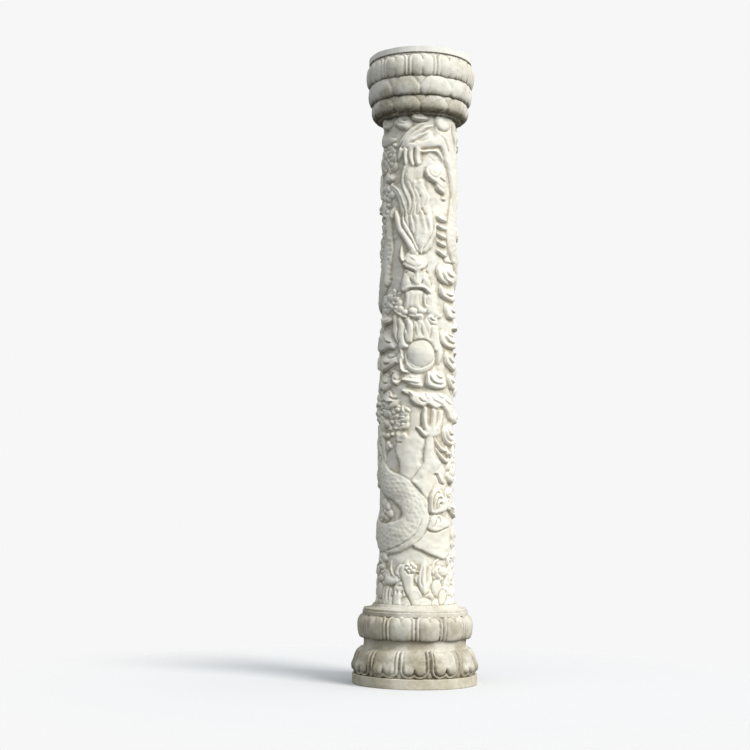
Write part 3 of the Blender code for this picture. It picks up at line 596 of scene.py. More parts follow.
def pearl(sheet):
    """The flaming pearl: a ball in a collar that hangs under it, and tongues of flame over it."""
    for keys in ([(33, 48.8, 4), (37, 51.4, 12), (34, 54, 16), (29, 56.2, 14), (31, 58.2, 5)],
                 [(25, 51.4, 12), (28, 53.4, 16), (25, 55.4, 17), (17, 57, 13), (18, 58.6, 5)],
                 [(-29, 52.6, 6), (-32, 54.8, 15), (-30, 56.8, 19), (-38, 58.6, 8)],
                 [(-20, 51.8, 12), (-23, 53.8, 17), (-20, 55.8, 18), (-25, 57.6, 12), (-22, 59, 5)],
                 [(12, 52.6, 14), (14, 54.4, 18), (10, 56, 17), (6, 57.6, 12), (9, 58.8, 5)],
                 [(-8, 53, 14), (-11, 54.6, 18), (-8, 56.3, 17), (-13, 57.8, 12), (-10, 59, 5)],
                 [(1, 53, 14), (3, 54.4, 15), (0, 55.8, 12), (-2, 57.2, 6)]):
        leaf(sheet, keys, 0.95, rim=7, lean=0.1, fade=2)
    for keys in ([(-3, 57, 1), (-4, 55.6, 3), (-2, 54.2, 2)],
                 [(7, 56.8, 1), (5.5, 55.4, 3), (8, 54.2, 2)],
                 [(20, 56.4, 1), (21, 54.9, 3), (19, 53.6, 2)],
                 [(-16, 57.4, 1), (-17, 56, 3), (-15, 54.6, 2)]):
        groove(sheet, keys, 0.45)
    boss(sheet, (3.2, 49.6), (42, 42), 0.8, foot=0.3, section=slabbed)
    boss(sheet, (4.5, 50.6), (37.5, 38), 1.4, foot=0.25, cut=2.4)
    slab(sheet, [(-29, 53.2), (-24, 52.4), (-22, 51), (-22.5, 49.4), (-18.5, 47.8), (-14, 46.9),
                 (-21, 46.6), (-27, 47.4), (-30, 49), (-28.5, 50.6), (-31, 52)], 1.1, rim=8)
    ledge(sheet, [(-28, 52), (-26, 50.4), (-26, 49)], 2.4, 0.25, 8, 0.5)
    ledge(sheet, [(-16, 50.4), (-15, 49), (-8, 48), (2, 47.6), (12, 47.9)], 2.4, 0.2, 8, 0.5)


def front_face(sheet):
    """The upper dragon's face, looking out: a smooth crown over one heavy brow, a short nose
    between full cheeks, a wide mouth whose corners turn down, and a flat jaw that spreads into the
    beard."""
    # the smooth neck on the right, and the jaw with its beard
    slab(sheet, [(12, 59.4), (8.6, 60.8), (8.6, 62.4), (14, 63.6), (22, 64.8), (29, 64.8), (32.5, 63),
                 (41, 58.8), (30, 57.9), (18, 58.5)], 0.8, rim=9, lean=0.3, cut=1.5)
    slab(sheet, [(-20, 63.4), (-19, 62), (-22, 60.6), (-24, 59.6), (-12, 59), (4, 58.8), (16, 59.4),
                 (12.4, 60.8), (11, 62), (12, 63.6), (4, 64.6), (-10, 64.6), (-17, 64)], 0.85, rim=7,
         lean=0.1)
    for line in ([(-13, 63), (-13, 61.6), (-16, 60.2)], [(-6.5, 63.2), (-7, 61.6), (-8, 60.2)],
                 [(0.5, 63.2), (1, 61.6), (1.5, 60.2)], [(7, 62.9), (7, 61.6), (9, 60.4)]):
        ledge(sheet, line[::-1], 1.7, 0.12, 8, 0.2)
    # full cheeks and the upper lip over the mouth
    slab(sheet, [(-24, 66.4), (-25.5, 65), (-25, 63.6), (-19, 63.3), (-11, 63.8), (0, 63.9), (8, 63.7),
                 (14, 63.1), (19, 62.8), (20, 64.4), (18, 66.6), (13, 68.4), (0, 68.8), (-15, 68.6),
                 (-22, 67.6)], 0.95, rim=7, lean=0, fade=1.5)
    for side, spot, radii in ((-1, (-17, 65.1), (9, 17)), (1, (13.5, 65), (8, 16))):
        boss(sheet, spot, radii, 1.25, 0.85, tilt=side * 14, cut=0, over=True)
    bar(sheet, [(-22, 63.6, 4), (-12, 64.2, 5), (-2, 64.1, 5), (8, 64.1, 5), (15, 63.3, 4)], 1.2, 0.9,
        cut=0, over=True)
    ledge(sheet, [(-22, 63), (-17, 63.4), (-11, 63.8), (0, 63.9), (8, 63.7), (14, 63), (16, 62.3)], 2.6,
          0.2, 9, 0.75)
    ledge(sheet, [(13, 63), (12, 62.2), (11.4, 61.4), (13, 60.6), (19, 60.2)][::-1], 2, 0.1, 9, 0.45)
    # the crown over deep-set eyes
    slab(sheet, [(-24, 69.8), (-23, 68.6), (-17, 68), (-8, 67.4), (-2, 67), (4, 67.2), (10, 67.8),
                 (15, 68.8), (14, 70.2), (9, 71.4), (-4, 72.2), (-17, 71.4)], 1.25, rim=15, lean=0.1,
         fade=1.6, foot=0.5)
    for side, spot in ((-1, (-15, 67.5)), (1, (9.5, 67.6))):
        groove(sheet, [(spot[0] + 7, spot[1] - 0.3 - 0.3 * side, 1.6), (*spot, 4),
                       (spot[0] - 7, spot[1] - 0.3 + 0.3 * side, 1.6)], 0.75)
        boss(sheet, (spot[0], spot[1] - 0.1), (4.4, 3), 1.0, 0.6, cut=0, over=True)
    for line in ([(-23, 68.9), (-18, 68.2), (-10, 67.9), (-3, 67.3)],
                 [(-1, 67.2), (5, 67.7), (11, 68.1), (15, 69)]):
        ledge(sheet, line, 2.6, 0.2, 9, 0.7)
    for line in ([(-21, 70), (-16, 69.2), (-8, 68.7), (-3, 68.3)], [(-1, 68.4), (5, 68.8), (10, 69.4)],
                 [(-14, 70.6), (-8, 69.9), (-2, 69.6)]):
        ledge(sheet, line, 2, 0.14, 9, 0.3)
    leaf(sheet, [(-23, 69.6, 5), (-25, 71, 9), (-26, 72.8, 2)], 1.2, rim=5)
    # the nose: a narrow bridge that spreads into a broad ball, with slanting nostrils
    leaf(sheet, [(0, 68.2, 3), (-0.5, 66.9, 6), (-1.5, 65.7, 11), (-2, 64.9, 13), (-2, 64.4, 6)], 1.5,
         rim=9, lean=0, foot=0.75, fade=0.4, cut=0.8)
    for line in ([(-12, 66, 1.4), (-9.5, 65.3, 2.8), (-5, 64.7, 1.6)],
                 [(2, 64.7, 1.4), (5, 65, 2.4), (7.6, 65.8, 1.2)]):
        groove(sheet, line, 0.75)
    ledge(sheet, [(-3.4, 65.4), (-4, 66.4), (-3, 67.6)], 1.8, 0.1, 6, 0.3)


def face(sheet, spot, half):
    """The lower dragon's face, built up from parts; half is half its width, and its parts are shares of
    that."""

    def at(across, up):
        return (spot[0] + across * half * DEGREES_PER_UNIT, spot[1] + up * half * PERCENT_PER_UNIT)

    def line(*rows):
        return [(*at(across, up), width * half) for across, up, width in rows]

    def knob(across, up, wide, tall, rise, foot=0.3, **more):
        boss(sheet, at(across, up), (wide * half, tall * half), rise, foot, **more)

    for side in (-1, 1):
        for i, up in enumerate((-0.62, -0.2, 0.22)):
            tip = (side * 1.42, up - 0.2 + 0.14 * i, 0.04)
            bar(sheet, line((side * 0.6, up + 0.1, 0.22), (side * 1.02, up, 0.19), tip), 0.9, 0.25,
                strands=2)
        bar(sheet, line((side * 0.6, 0.95, 0.24), (side * 0.98, 1.3, 0.24), (side * 1.32, 1.66, 0.05)),
            0.95, 0.3, section=cupped)
    knob(0, 0.78, 0.98, 0.85, 1.0, section=slabbed)
    knob(0, -0.15, 0.88, 0.9, 1.1, section=slabbed, cut=0, over=True)
    knob(0, -1.35, 0.74, 0.66, 0.95, section=slabbed)
    for i in range(5):
        across = (i - 2) * 0.30
        bar(sheet, line((across * 0.8, -1.45, 0.20), (across * 1.1, -1.9, 0.20),
                        (across * 1.6, -2.4 + 0.1 * abs(i - 2), 0.05)), 0.95, 0.4, strands=2, cut=0.8)
    dent(sheet, at(0, -1.0), (0.78 * half, 0.26 * half), 1.1)
    knob(0, -1.20, 0.40, 0.15, 0.8, cut=0, over=True)
    bar(sheet, line((-0.80, -0.86, 0.14), (-0.45, -0.60, 0.20), (0, -0.66, 0.22), (0.45, -0.60, 0.20),
                    (0.80, -0.86, 0.14)), 1.25, 0.7, cut=1.2)
    for side in (-1, 1):
        knob(side * 0.58, -0.36, 0.32, 0.28, 1.25, 0.8, cut=0, over=True)
        bar(sheet, line((side * 0.66, -0.60, 0.11), (side * 1.05, -0.86, 0.11),
                        (side * 1.3, -1.35, 0.09), (side * 1.12, -1.9, 0.03)), 1.0, 0.3)
    bar(sheet, line((0, 0.62, 0.16), (0, 0.2, 0.18), (0, -0.2, 0.28)), 1.4, 1.0, cut=1.2)
    knob(0, -0.20, 0.40, 0.30, 1.65, 1.0, cut=1.2)
    for side in (-1, 1):
        dent(sheet, at(side * 0.24, -0.34), (0.16 * half, 0.13 * half), 0.9, tilt=side * 30)
        dent(sheet, at(side * 0.48, 0.26), (0.40 * half, 0.28 * half), 0.95)
        knob(side * 0.47, 0.24, 0.21, 0.17, 1.2, 0.6, cut=0, over=True)
        bar(sheet, line((side * 0.04, 0.46, 0.17), (side * 0.34, 0.62, 0.21), (side * 0.68, 0.64, 0.20),
                        (side * 1.02, 0.46, 0.10)), 1.55, 0.9, cut=1.4)
        knob(side * 0.36, 1.12, 0.40, 0.34, 1.3, 0.9, tilt=-side * 20, cut=0.8)


def crest(sheet, spot, size, rise=0.95):
    """A wave's round crest: a low round with grooves at even distances from its middle."""
    rows, columns, off = oval(sheet, spot, (size, size), 0, CUT)
    near = np.abs(off * CREST_RINGS - np.round(off * CREST_RINGS)) * 2
    top = rise * (0.5 + 0.5 * plump(np.clip(off, 0, 1)))
    top = top - 0.28 * rise * (1 - smooth(near / 0.5)) * smooth((0.94 - off) / 0.1) * (off > 0.2)
    sheet.lay(rows, columns, (off - 1) * size * UNIT, CARVING_DEPTH * top)


# The layout, from the photograph in front and in keeping with it behind

UPPER_BODY = [(36, 102, 24), (50, 98, 26), (62, 93.4, 27), (73, 89, 27), (76, 84.6, 27), (70, 80, 27),
              (64, 76, 28), (74, 72.2, 28), (98, 68.6, 28), (130, 63.6, 28), (165, 60.8, 27),
              (200, 60.5, 26), (232, 60.8, 25), (264, 62.0, 26), (288, 65.5, 29), (298, 71, 30),
              (299, 77.0, 24), (290, 82, 16), (274, 86.5, 11), (256, 89.5, 6), (244, 90, 3)]
LOWER_BODY = [(-86, 37.5, 22), (-80, 32.4, 27), (-72, 28, 31), (-50, 24.4, 33), (-24, 22.8, 35),
              (-2, 19.4, 36), (-6, 15.6, 38), (-28, 13.6, 41), (-58, 13.1, 40), (-92, 14.8, 35),
              (-130, 18.5, 29), (-165, 24, 26), (-200, 28.5, 24), (-228, 33.5, 22), (-244, 39.5, 19),
              (-240, 45.5, 15), (-222, 49.5, 11), (-202, 51, 7), (-190, 50, 3)]
SIDE_SCROLLS = [
    # degrees, percent, size, turn, hand, small scrolls
    (86, 97, 20, 60, 1, 1), (-58, 61.6, 20, 150, 1, 1), (-47, 62.6, 13, 60, -1, 0),
    (-64, 57.9, 20, 200, 1, 0), (-58, 45.2, 21, 160, 1, 0), (-36, 46.1, 14, 120, 1, 0),
    (-52, 41.8, 20, 180, 1, 1), (-31, 39.5, 9, 100, 1, 0), (72, 27, 24, 30, 1, 2),
    (82, 14, 24, 60, -1, 2), (60, 22.6, 16, 200, 1, 0), (84, 44, 22, 60, 1, 1)]
FRONT_PUFFS = [
    # degrees, percent, size, hand
    (-52, 57.9, 21, -1),
    (58, 30.4, 17, 1), (66, 25.4, 20, 1), (50, 21.2, 12, 1), (74, 19.6, 20, -1)]
RIGHT_CLOUDS = [
    # each cloud's outline, then the lines in it
    ([(29.5, 68.2), (30, 66.6), (34, 65.6), (40, 65.2), (50, 65.1), (62, 65.3), (74, 66), (76, 68),
      (66, 69.3), (50, 69.5), (36, 69.3)],
     [[(39, 67.6), (41, 66.6), (46, 65.8), (57, 65.4)], [(47, 68), (52, 67.1), (62, 66.7)]]),
    ([(33, 64.3), (34, 62.9), (42, 62.1), (56, 61.8), (72, 62), (82, 63), (78, 64.7), (60, 64.7),
      (44, 64.7), (37, 65)],
     [[(42, 64.2), (46, 63.3), (56, 62.9), (68, 63.2)]]),
    ([(44, 60.2), (47, 59), (52, 58.3), (64, 58.2), (76, 58.6), (84, 60), (76, 61.2), (60, 61.5),
      (48, 61.3)],
     [[(54, 60.4), (60, 59.7), (72, 59.6)]]),
    ([(36.5, 54.6), (37.5, 53.4), (42, 52.5), (50, 52), (62, 51.9), (78, 52.2), (84, 54), (76, 55.8),
      (56, 56.1), (44, 56), (38, 55.4)],
     [[(46, 54.8), (49, 54), (57, 53.3), (70, 53)], [(54, 55.2), (62, 54.6), (70, 54.5)]]),
    ([(46.5, 50.6), (46, 49.2), (51, 48.4), (60, 47.8), (74, 47.6), (84, 48.6), (80, 50.4), (66, 51.2),
      (52, 51.3)],
     [[(52, 50.2), (57, 49.4), (68, 49)]]),
    ([(52, 46.2), (54, 44.8), (60, 43.9), (72, 43.6), (82, 45), (76, 46.8), (60, 47)],
     [[(58, 45.6), (63, 45), (70, 44.9)]]),
    ([(22, 47.2), (15.5, 46.6), (13.5, 45.6), (12.5, 44.6), (15, 43.9), (24, 43.5), (34, 43.4),
      (46, 43.8), (52, 45), (50, 46.8), (40, 47.6), (30, 47.8)],
     [[(19, 46.4), (20, 45.4), (25, 44.8), (33, 44.6), (42, 44.8)],
      [(30, 46.6), (34, 46), (42, 45.9)]]),
    ([(46, 36), (41.5, 35.2), (41, 34), (45, 32.9), (54, 32.3), (66, 32.2), (78, 33), (80, 35.2),
      (70, 36.6), (56, 36.6)],
     [[(48, 35.2), (48, 34.2), (54, 33.4), (64, 33.2)], [(55, 35.4), (58, 34.6), (66, 34.4)]]),
    ([(19, 18.6), (18.6, 20.4), (22, 22.2), (30, 23.4), (40, 23.5), (52, 22.6), (60, 20.6), (52, 19),
      (38, 18.3), (27, 18)],
     [[(24, 18.6), (23, 20.2), (27, 21.8), (35, 22.6), (44, 22.2)],
      [(30, 18.7), (28.6, 19.9), (32, 21.1), (38, 21.6), (45, 21.1)],
      [(35, 19.2), (35, 20.2), (39, 20.6), (42, 20)]]),
    ([(17, 15.2), (21, 16.8), (26, 18), (31, 18.3), (38, 18.2), (52, 18), (64, 17), (60, 15.8),
      (46, 15.2), (30, 14.7)],
     [[(33, 17), (36, 17.6), (40, 17), (38, 16.3), (34, 16.3)], [(24, 15.6), (29, 16.6), (33, 17.8)]])]
CHIN_CLOUDS = [
    ([(-42, 59.8), (-32, 58.5), (-22, 57.9), (-15, 58.2), (-16, 59.8), (-26, 60.7), (-38, 60.8)], []),
    ([(15, 58), (18, 57.1), (23, 56.5), (30, 56.5), (34, 57.4), (30, 58.8), (20, 59)],
     [[(19, 58), (23, 57.4), (28, 57.4)]]),
    ([(-17, 59.4), (-14, 58.4), (-8, 57.9), (0, 57.4), (7, 57.4), (12, 58.4), (10, 59.8), (0, 60.3),
      (-10, 60.2)],
     [])]
CHIN_LUMPS = [
    # degrees, percent, radii
    (-8, 59.3, 13, 10), (6, 59.2, 12, 9), (1, 58.2, 13, 7), (-28, 59.7, 12, 9), (-20, 59.1, 9, 8),
    (-36, 60.1, 8, 6)]
LEFT_CLOUDS = [
    ([(-84, 55), (-66, 55.9), (-48, 55.6), (-38, 54.6), (-33, 52.9), (-37, 51.5), (-48, 51.6),
      (-66, 51.2), (-84, 51.6)],
     [[(-62, 54.4), (-52, 53.2), (-42, 52.8)]]),
    ([(-84, 50.8), (-60, 51.1), (-44, 51), (-32, 50), (-36, 48.8), (-46, 47.9), (-62, 47.2),
      (-84, 47.8)],
     [[(-64, 49.8), (-56, 48.8), (-44, 48.8)], [(-52, 50.4), (-46, 49.8), (-38, 50)]]),
    ([(-76, 46), (-62, 46.9), (-50, 46.2), (-43, 44.8), (-49, 43.5), (-62, 43), (-76, 44)],
     [[(-64, 45.6), (-58, 44.8), (-50, 45)]]),
    ([(-41.5, 46.4), (-34, 47.1), (-27, 46.2), (-26.5, 44.9), (-33, 44.1), (-40, 44.9)],
     [[(-36, 45.8), (-32, 45.2), (-28, 45.6)]]),
    ([(-76, 42.3), (-58, 43), (-40, 42.6), (-28, 41.4), (-32, 39.9), (-45, 39.1), (-60, 39.4),
      (-76, 40.6)],
     [[(-60, 41.6), (-50, 40.6), (-38, 40.7)], [(-46, 42), (-40, 41.4), (-32, 41.5)]]),
    ([(-62, 75.2), (-57, 76.6), (-51, 75.8), (-45.5, 72), (-45, 69), (-49, 65.8), (-57, 64.8),
      (-64, 67), (-66, 71)],
     [])]
FRONT_KNOBS = [
    # degrees, percent, radii
    (-31, 38.9, 9, 7), (-38, 38.4, 8, 6), (-50, 38.2, 11, 9), (-60, 36.6, 10, 9), (-42, 36.6, 8, 6),
    (-52, 33.9, 12, 7), (-50, 31.9, 9, 13), (-62, 34.2, 9, 8), (-62, 31.6, 9, 8), (-41, 34.2, 6, 5),
    (-70, 29.2, 10, 10), (-70, 32.6, 9, 9), (-46, 35.4, 7, 6), (-44, 31.6, 6, 6), (-56, 81.7, 7, 7),
    (-57, 80.2, 7, 7), (-40, 98.6, 8, 7), (-62, 78.4, 7, 9)]
FOAM = [
    # patches of small curls and knobs: lowest and highest degrees, percent, and how many
    (-76, -40, 88.8, 94.6, 24), (-72, -46, 82.6, 86, 9), (-42, -15, 35.6, 39.2, 22),
    (-74, -52, 8.2, 10.0, 5), (-66, -42, 16.6, 20.2, 8),
    (-52, -29, 59.6, 63.6, 10), (-34, -24, 48.6, 50, 2)]
BANK = [(-26, 42.9), (-18, 42.2), (-12, 41.9), (-9, 41.2), (-3, 40.3), (4, 39.9), (8, 39.7), (12, 40),
        (16, 40.3), (22, 39.9), (28, 39.5), (34, 39.5), (40, 39.9), (46, 39.5), (52, 38.6), (58, 37.6),
        (70, 37.3), (78, 39), (72, 41.5), (58, 42.7), (46, 43.2), (34, 43.1), (20, 43), (4, 43.3),
        (-10, 43.5), (-20, 43.5)]
BANK_LINES = [[(22, 42.2), (25, 41.4), (34, 40.8), (44, 40.2)], [(-20, 43), (-12, 42.5), (-6, 41.6)],
              [(3, 41.8), (7, 41), (13, 40.9)], [(46, 41.8), (52, 41), (62, 40.6), (70, 41)],
              [(13, 42.6), (14, 41.8), (17, 41.3)], [(33, 42.4), (38, 41.8), (46, 41.6)]]
PLATE = [(-34, 34.5), (-28, 35.1), (-18, 34.9), (-14, 34.5), (-6, 34.8), (3, 35), (10, 34.4), (15, 33.4),
         (12, 31.8), (11, 29.6), (10, 28), (2, 26.4), (-6, 24.4), (-14, 21.4), (-30, 22.4), (-27, 27.2),
         (-28, 29), (-32, 30.1), (-33.5, 31.2), (-31, 32.5)]
ARM = [(14.5, 33.4), (12.8, 31.9), (10.8, 30.4), (11, 29), (8, 28), (2.5, 27), (-2, 26), (-9, 24.5),
       (-2, 22.4), (8, 20.5), (18, 21.6), (26, 24), (30, 26.4), (37, 27.8), (41, 29), (39, 31), (37, 33),
       (34, 34.8), (18, 34.8)]
HIDDEN_CLOUDS = 66
HIDDEN_FROM, HIDDEN_SPAN = 84, 192
GOLDEN_ANGLE = 137.508
GOLDEN_SHARE = 0.618034
MANE = [(-23, 90.8), (-12, 91), (3, 90.8), (5, 87), (8, 84), (14, 81), (22, 78.6), (27, 76), (22, 73),
        (10, 71.8), (-6, 71.8), (-14, 73.5), (-22, 76), (-28, 79), (-36, 82.4), (-50, 85.2), (-47, 86.2),
        (-36, 85.8), (-26, 87)]
MANE_LOCKS = [
    # degrees, percent and half width along each lock, from the right to the left and from below up
    [(12, 83.6, 4), (12, 81.6, 10), (17, 79, 11), (20, 76.6, 10), (15, 74, 8), (8, 72, 5)],
    [(5, 83.6, 6), (4, 81.2, 12), (9, 78.6, 12), (10, 76, 12), (6, 73.6, 11), (3, 71.4, 5)],
    [(-4, 82.4, 6), (-4, 80, 11), (0, 77.6, 12), (-1, 75, 12), (-3, 72.6, 9), (-3, 71, 4)],
    [(-12, 81.4, 5), (-11, 79.2, 9), (-8, 76.8, 11), (-10, 74.4, 11), (-9, 72, 6)],
    [(-19, 80.4, 4), (-18, 78.2, 8), (-15, 76, 9), (-15, 73.6, 8), (-12, 71.6, 4)],
    [(4, 86.6, 8), (4, 84.8, 14), (9, 83, 13), (7, 81, 9), (11, 79.4, 3)],
    [(-5, 86.4, 8), (-5, 84.8, 13), (1, 83, 13), (1, 81, 9), (-3, 79.4, 3)],
    [(-15, 88.8, 9), (-16, 86.6, 13), (-10, 84.6, 12), (-5, 82.8, 10), (-9, 80.6, 5), (-13, 79.2, 2)],
    [(-20, 90.2, 5), (-24, 88, 8), (-24, 86, 10), (-18, 83.6, 10), (-13, 81.8, 7), (-17, 79.6, 3)],
    [(-46, 85.8, 3), (-38, 85, 6), (-30, 83.8, 9), (-23, 82, 9), (-19, 80.4, 6), (-20, 79, 2)]]
CREST_CLOUD = [(8, 88.2), (10, 87.1), (14, 86.6), (21, 86), (25, 85.6), (25.5, 84.8), (30, 84.2),
               (38, 83.8), (43, 84), (46, 85.4), (48, 87), (49, 88.8), (44, 89.8), (34, 90.3), (22, 90),
               (13, 89.3)]
SHOULDER = [(24, 97.3), (23.5, 99.5), (28, 101.8), (60, 102.2), (84, 100), (86, 93), (82, 84), (74, 78),
            (66, 80), (60, 84), (57, 86.6), (50, 88.8), (43, 90.6), (39, 92.6), (33, 93.6), (22, 93.3),
            (8, 93.1), (-4, 92.9), (-16, 93), (-8, 95.2), (8, 96.3), (18, 96.8)]
LOWER_MANE = [
    [(-66, 40.6), (-58, 40.2), (-50, 39.6), (-45, 40.2)],
    [(-64, 39), (-56, 38.4), (-48, 38.4), (-42, 37.6)],
    [(-66, 37.4), (-58, 36.4), (-50, 36.2), (-43, 35.4)],
    [(-74, 34.8), (-66, 33), (-60, 31), (-54, 28.6)],
    [(-98, 35.6), (-104, 33), (-112, 31)],
    [(-94, 34.6), (-98, 31.6), (-104, 29)]]
ELBOW_LEAVES = [
    [(28, 33.6, 2), (33, 32.6, 7), (40, 31.3, 9), (48, 31, 8), (55, 32, 3)],
    [(30, 31.6, 2), (35, 30.5, 7), (43, 29.4, 8.5), (52, 29.1, 8), (60, 30, 3)]]


def carve_clouds_behind(sheet):
    """Clouds all over the hidden side, each a golden angle on from the last to lie evenly."""
    for i in range(HIDDEN_CLOUDS):
        angle = HIDDEN_FROM + (i * GOLDEN_ANGLE) % HIDDEN_SPAN
        percent = 9 + 90 * (i + 0.5) / HIDDEN_CLOUDS
        if i % 2:
            puff(sheet, (angle, percent), 29 + 2 * (i * 7 % 5), 2 - i % 4, 1.05, 20 - 10 * (i % 5))
        else:
            cloud(sheet, (angle, percent), 24 + 2 * (i * 7 % 5), i * 77 % 360, i % 4 - 1, 0.9,
                  2 + i % 3 // 2)


def carve_foam(sheet):
    """Small curls and knobs, spread over each patch by steps of the golden ratio."""
    for low, high, foot, top, count in FOAM:
        for i in range(count):
            across = low + (high - low) * (i * GOLDEN_SHARE % 1)
            spot = (across, foot + (top - foot) * (i + 0.5) / count)
            size = 7 + 2.3 * (i * 5 % 4)
            if i % 3 == 1:
                scroll(sheet, spot, size + 2, i * 77 % 360, 1 - i % 2 * 2, 0.8, tail=0)
            else:
                boss(sheet, spot, (size, size * (0.6 + 0.12 * (i % 4))), 0.85, 0.25, tilt=i * 50)


def carve_waves(sheet):
    """Rocks, scrolls and two rows of round wave crests at the foot."""
    for i in range(9):
        angle = i * 40 + 20
        bar(sheet, [(angle - 6, 0, 26), (angle - 2, 4, 17), (angle + 3, 7.4 + 1.3 * (i % 2), 4)], 0.9,
            0.3, strands=3)
        bar(sheet, [(angle + 9, 0, 20), (angle + 10, 3.2, 13), (angle + 14, 5.6, 3)], 0.95, 0.3,
            strands=2)
    for i in range(12):
        scroll(sheet, (i * 30 + 8, 5.2 + 1.2 * (i % 2)), 19 + 3 * (i % 3), 100 + 50 * (i % 3),
               1 - i % 2 * 2, 0.9)
    for i in range(15):
        crest(sheet, (i * 24, 1.9), 24)
    for i in range(15):
        crest(sheet, (i * 24 + 12, 0), 23, 1.0)
    # in front: domes and blocks of rock, the smooth band under the flower, and the oval stone
    slab(sheet, [(-48, 6.2), (-34, 6.7), (-27, 5.9), (-23, 4.9), (-30, 4.1), (-48, 4), (-53, 5)], 0.95)
    for spot, radii in (((-63, 7.5), (15, 9)), ((-62, 5.1), (13, 9)), ((-64, 2.4), (14, 24)),
                        ((34, 3.4), (15, 24)), ((46, 6.6), (16, 13)), ((44, 1.6), (13, 20))):
        boss(sheet, spot, radii, 1.0, 0.3, section=slabbed)
    slab(sheet, [(-57, 2.4), (-51, 3.6), (-41, 3.8), (-35.5, 3), (-34, 1.2), (-38, -1), (-54, -1)], 1.0)
    for across in (-48, -41):
        ledge(sheet, [(across, 3.6), (across - 1, 2.2), (across, 0.6)], 2.4, 0.2, 8, 0.6)
    slab(sheet, [(-33.5, 3), (-31, 4), (-25, 4.4), (-19, 4.1), (-14, 3), (-9, 1.4), (-8, -1),
                 (-32, -1)], 1.05, rim=12)
    for across in (-27, -19):
        dent(sheet, (across, 2.6), (4, 8), 0.6)
    slab(sheet, [(-26, 6.4), (-21, 7.8), (-12, 8.8), (-3, 8.6), (1, 7), (1.5, 5), (4, 3.2), (9, 1.4),
                 (13, -1), (2, -1), (-4, 0.2), (-9, 1.6), (-14, 2.8), (-19, 4.2), (-23, 5.4)], 0.95,
         rim=5, lean=0.15)
    slab(sheet, [(13, 8.9), (6.5, 7.8), (3.8, 6), (3.8, 4.6), (7, 3), (13, 2.2), (21, 3), (25, 5),
                 (22.5, 7.8), (18, 8.9)], 1.1, rim=12)
    ledge(sheet, [(12, 7.8), (9, 6.6), (9, 5), (12, 3.6)], 2.4, 0.2, 9, 0.5)
    for i in range(6):
        boss(sheet, around((-8, 7.3), 60 * i + 15, 10), (6.6, 6.6), 1.15, 0.5)
    boss(sheet, (-8, 7.3), (4.6, 4.6), 1.25, 0.7)


def carve_forms(sheet, forms, rise):
    """Flat clouds, each with the lines in it."""
    for outline, lines in forms:
        slab(sheet, outline, rise, rim=7, lean=0.3)
        for spots in lines:
            ledge(sheet, spots, 2.8, 0.4, 11, 0.85)


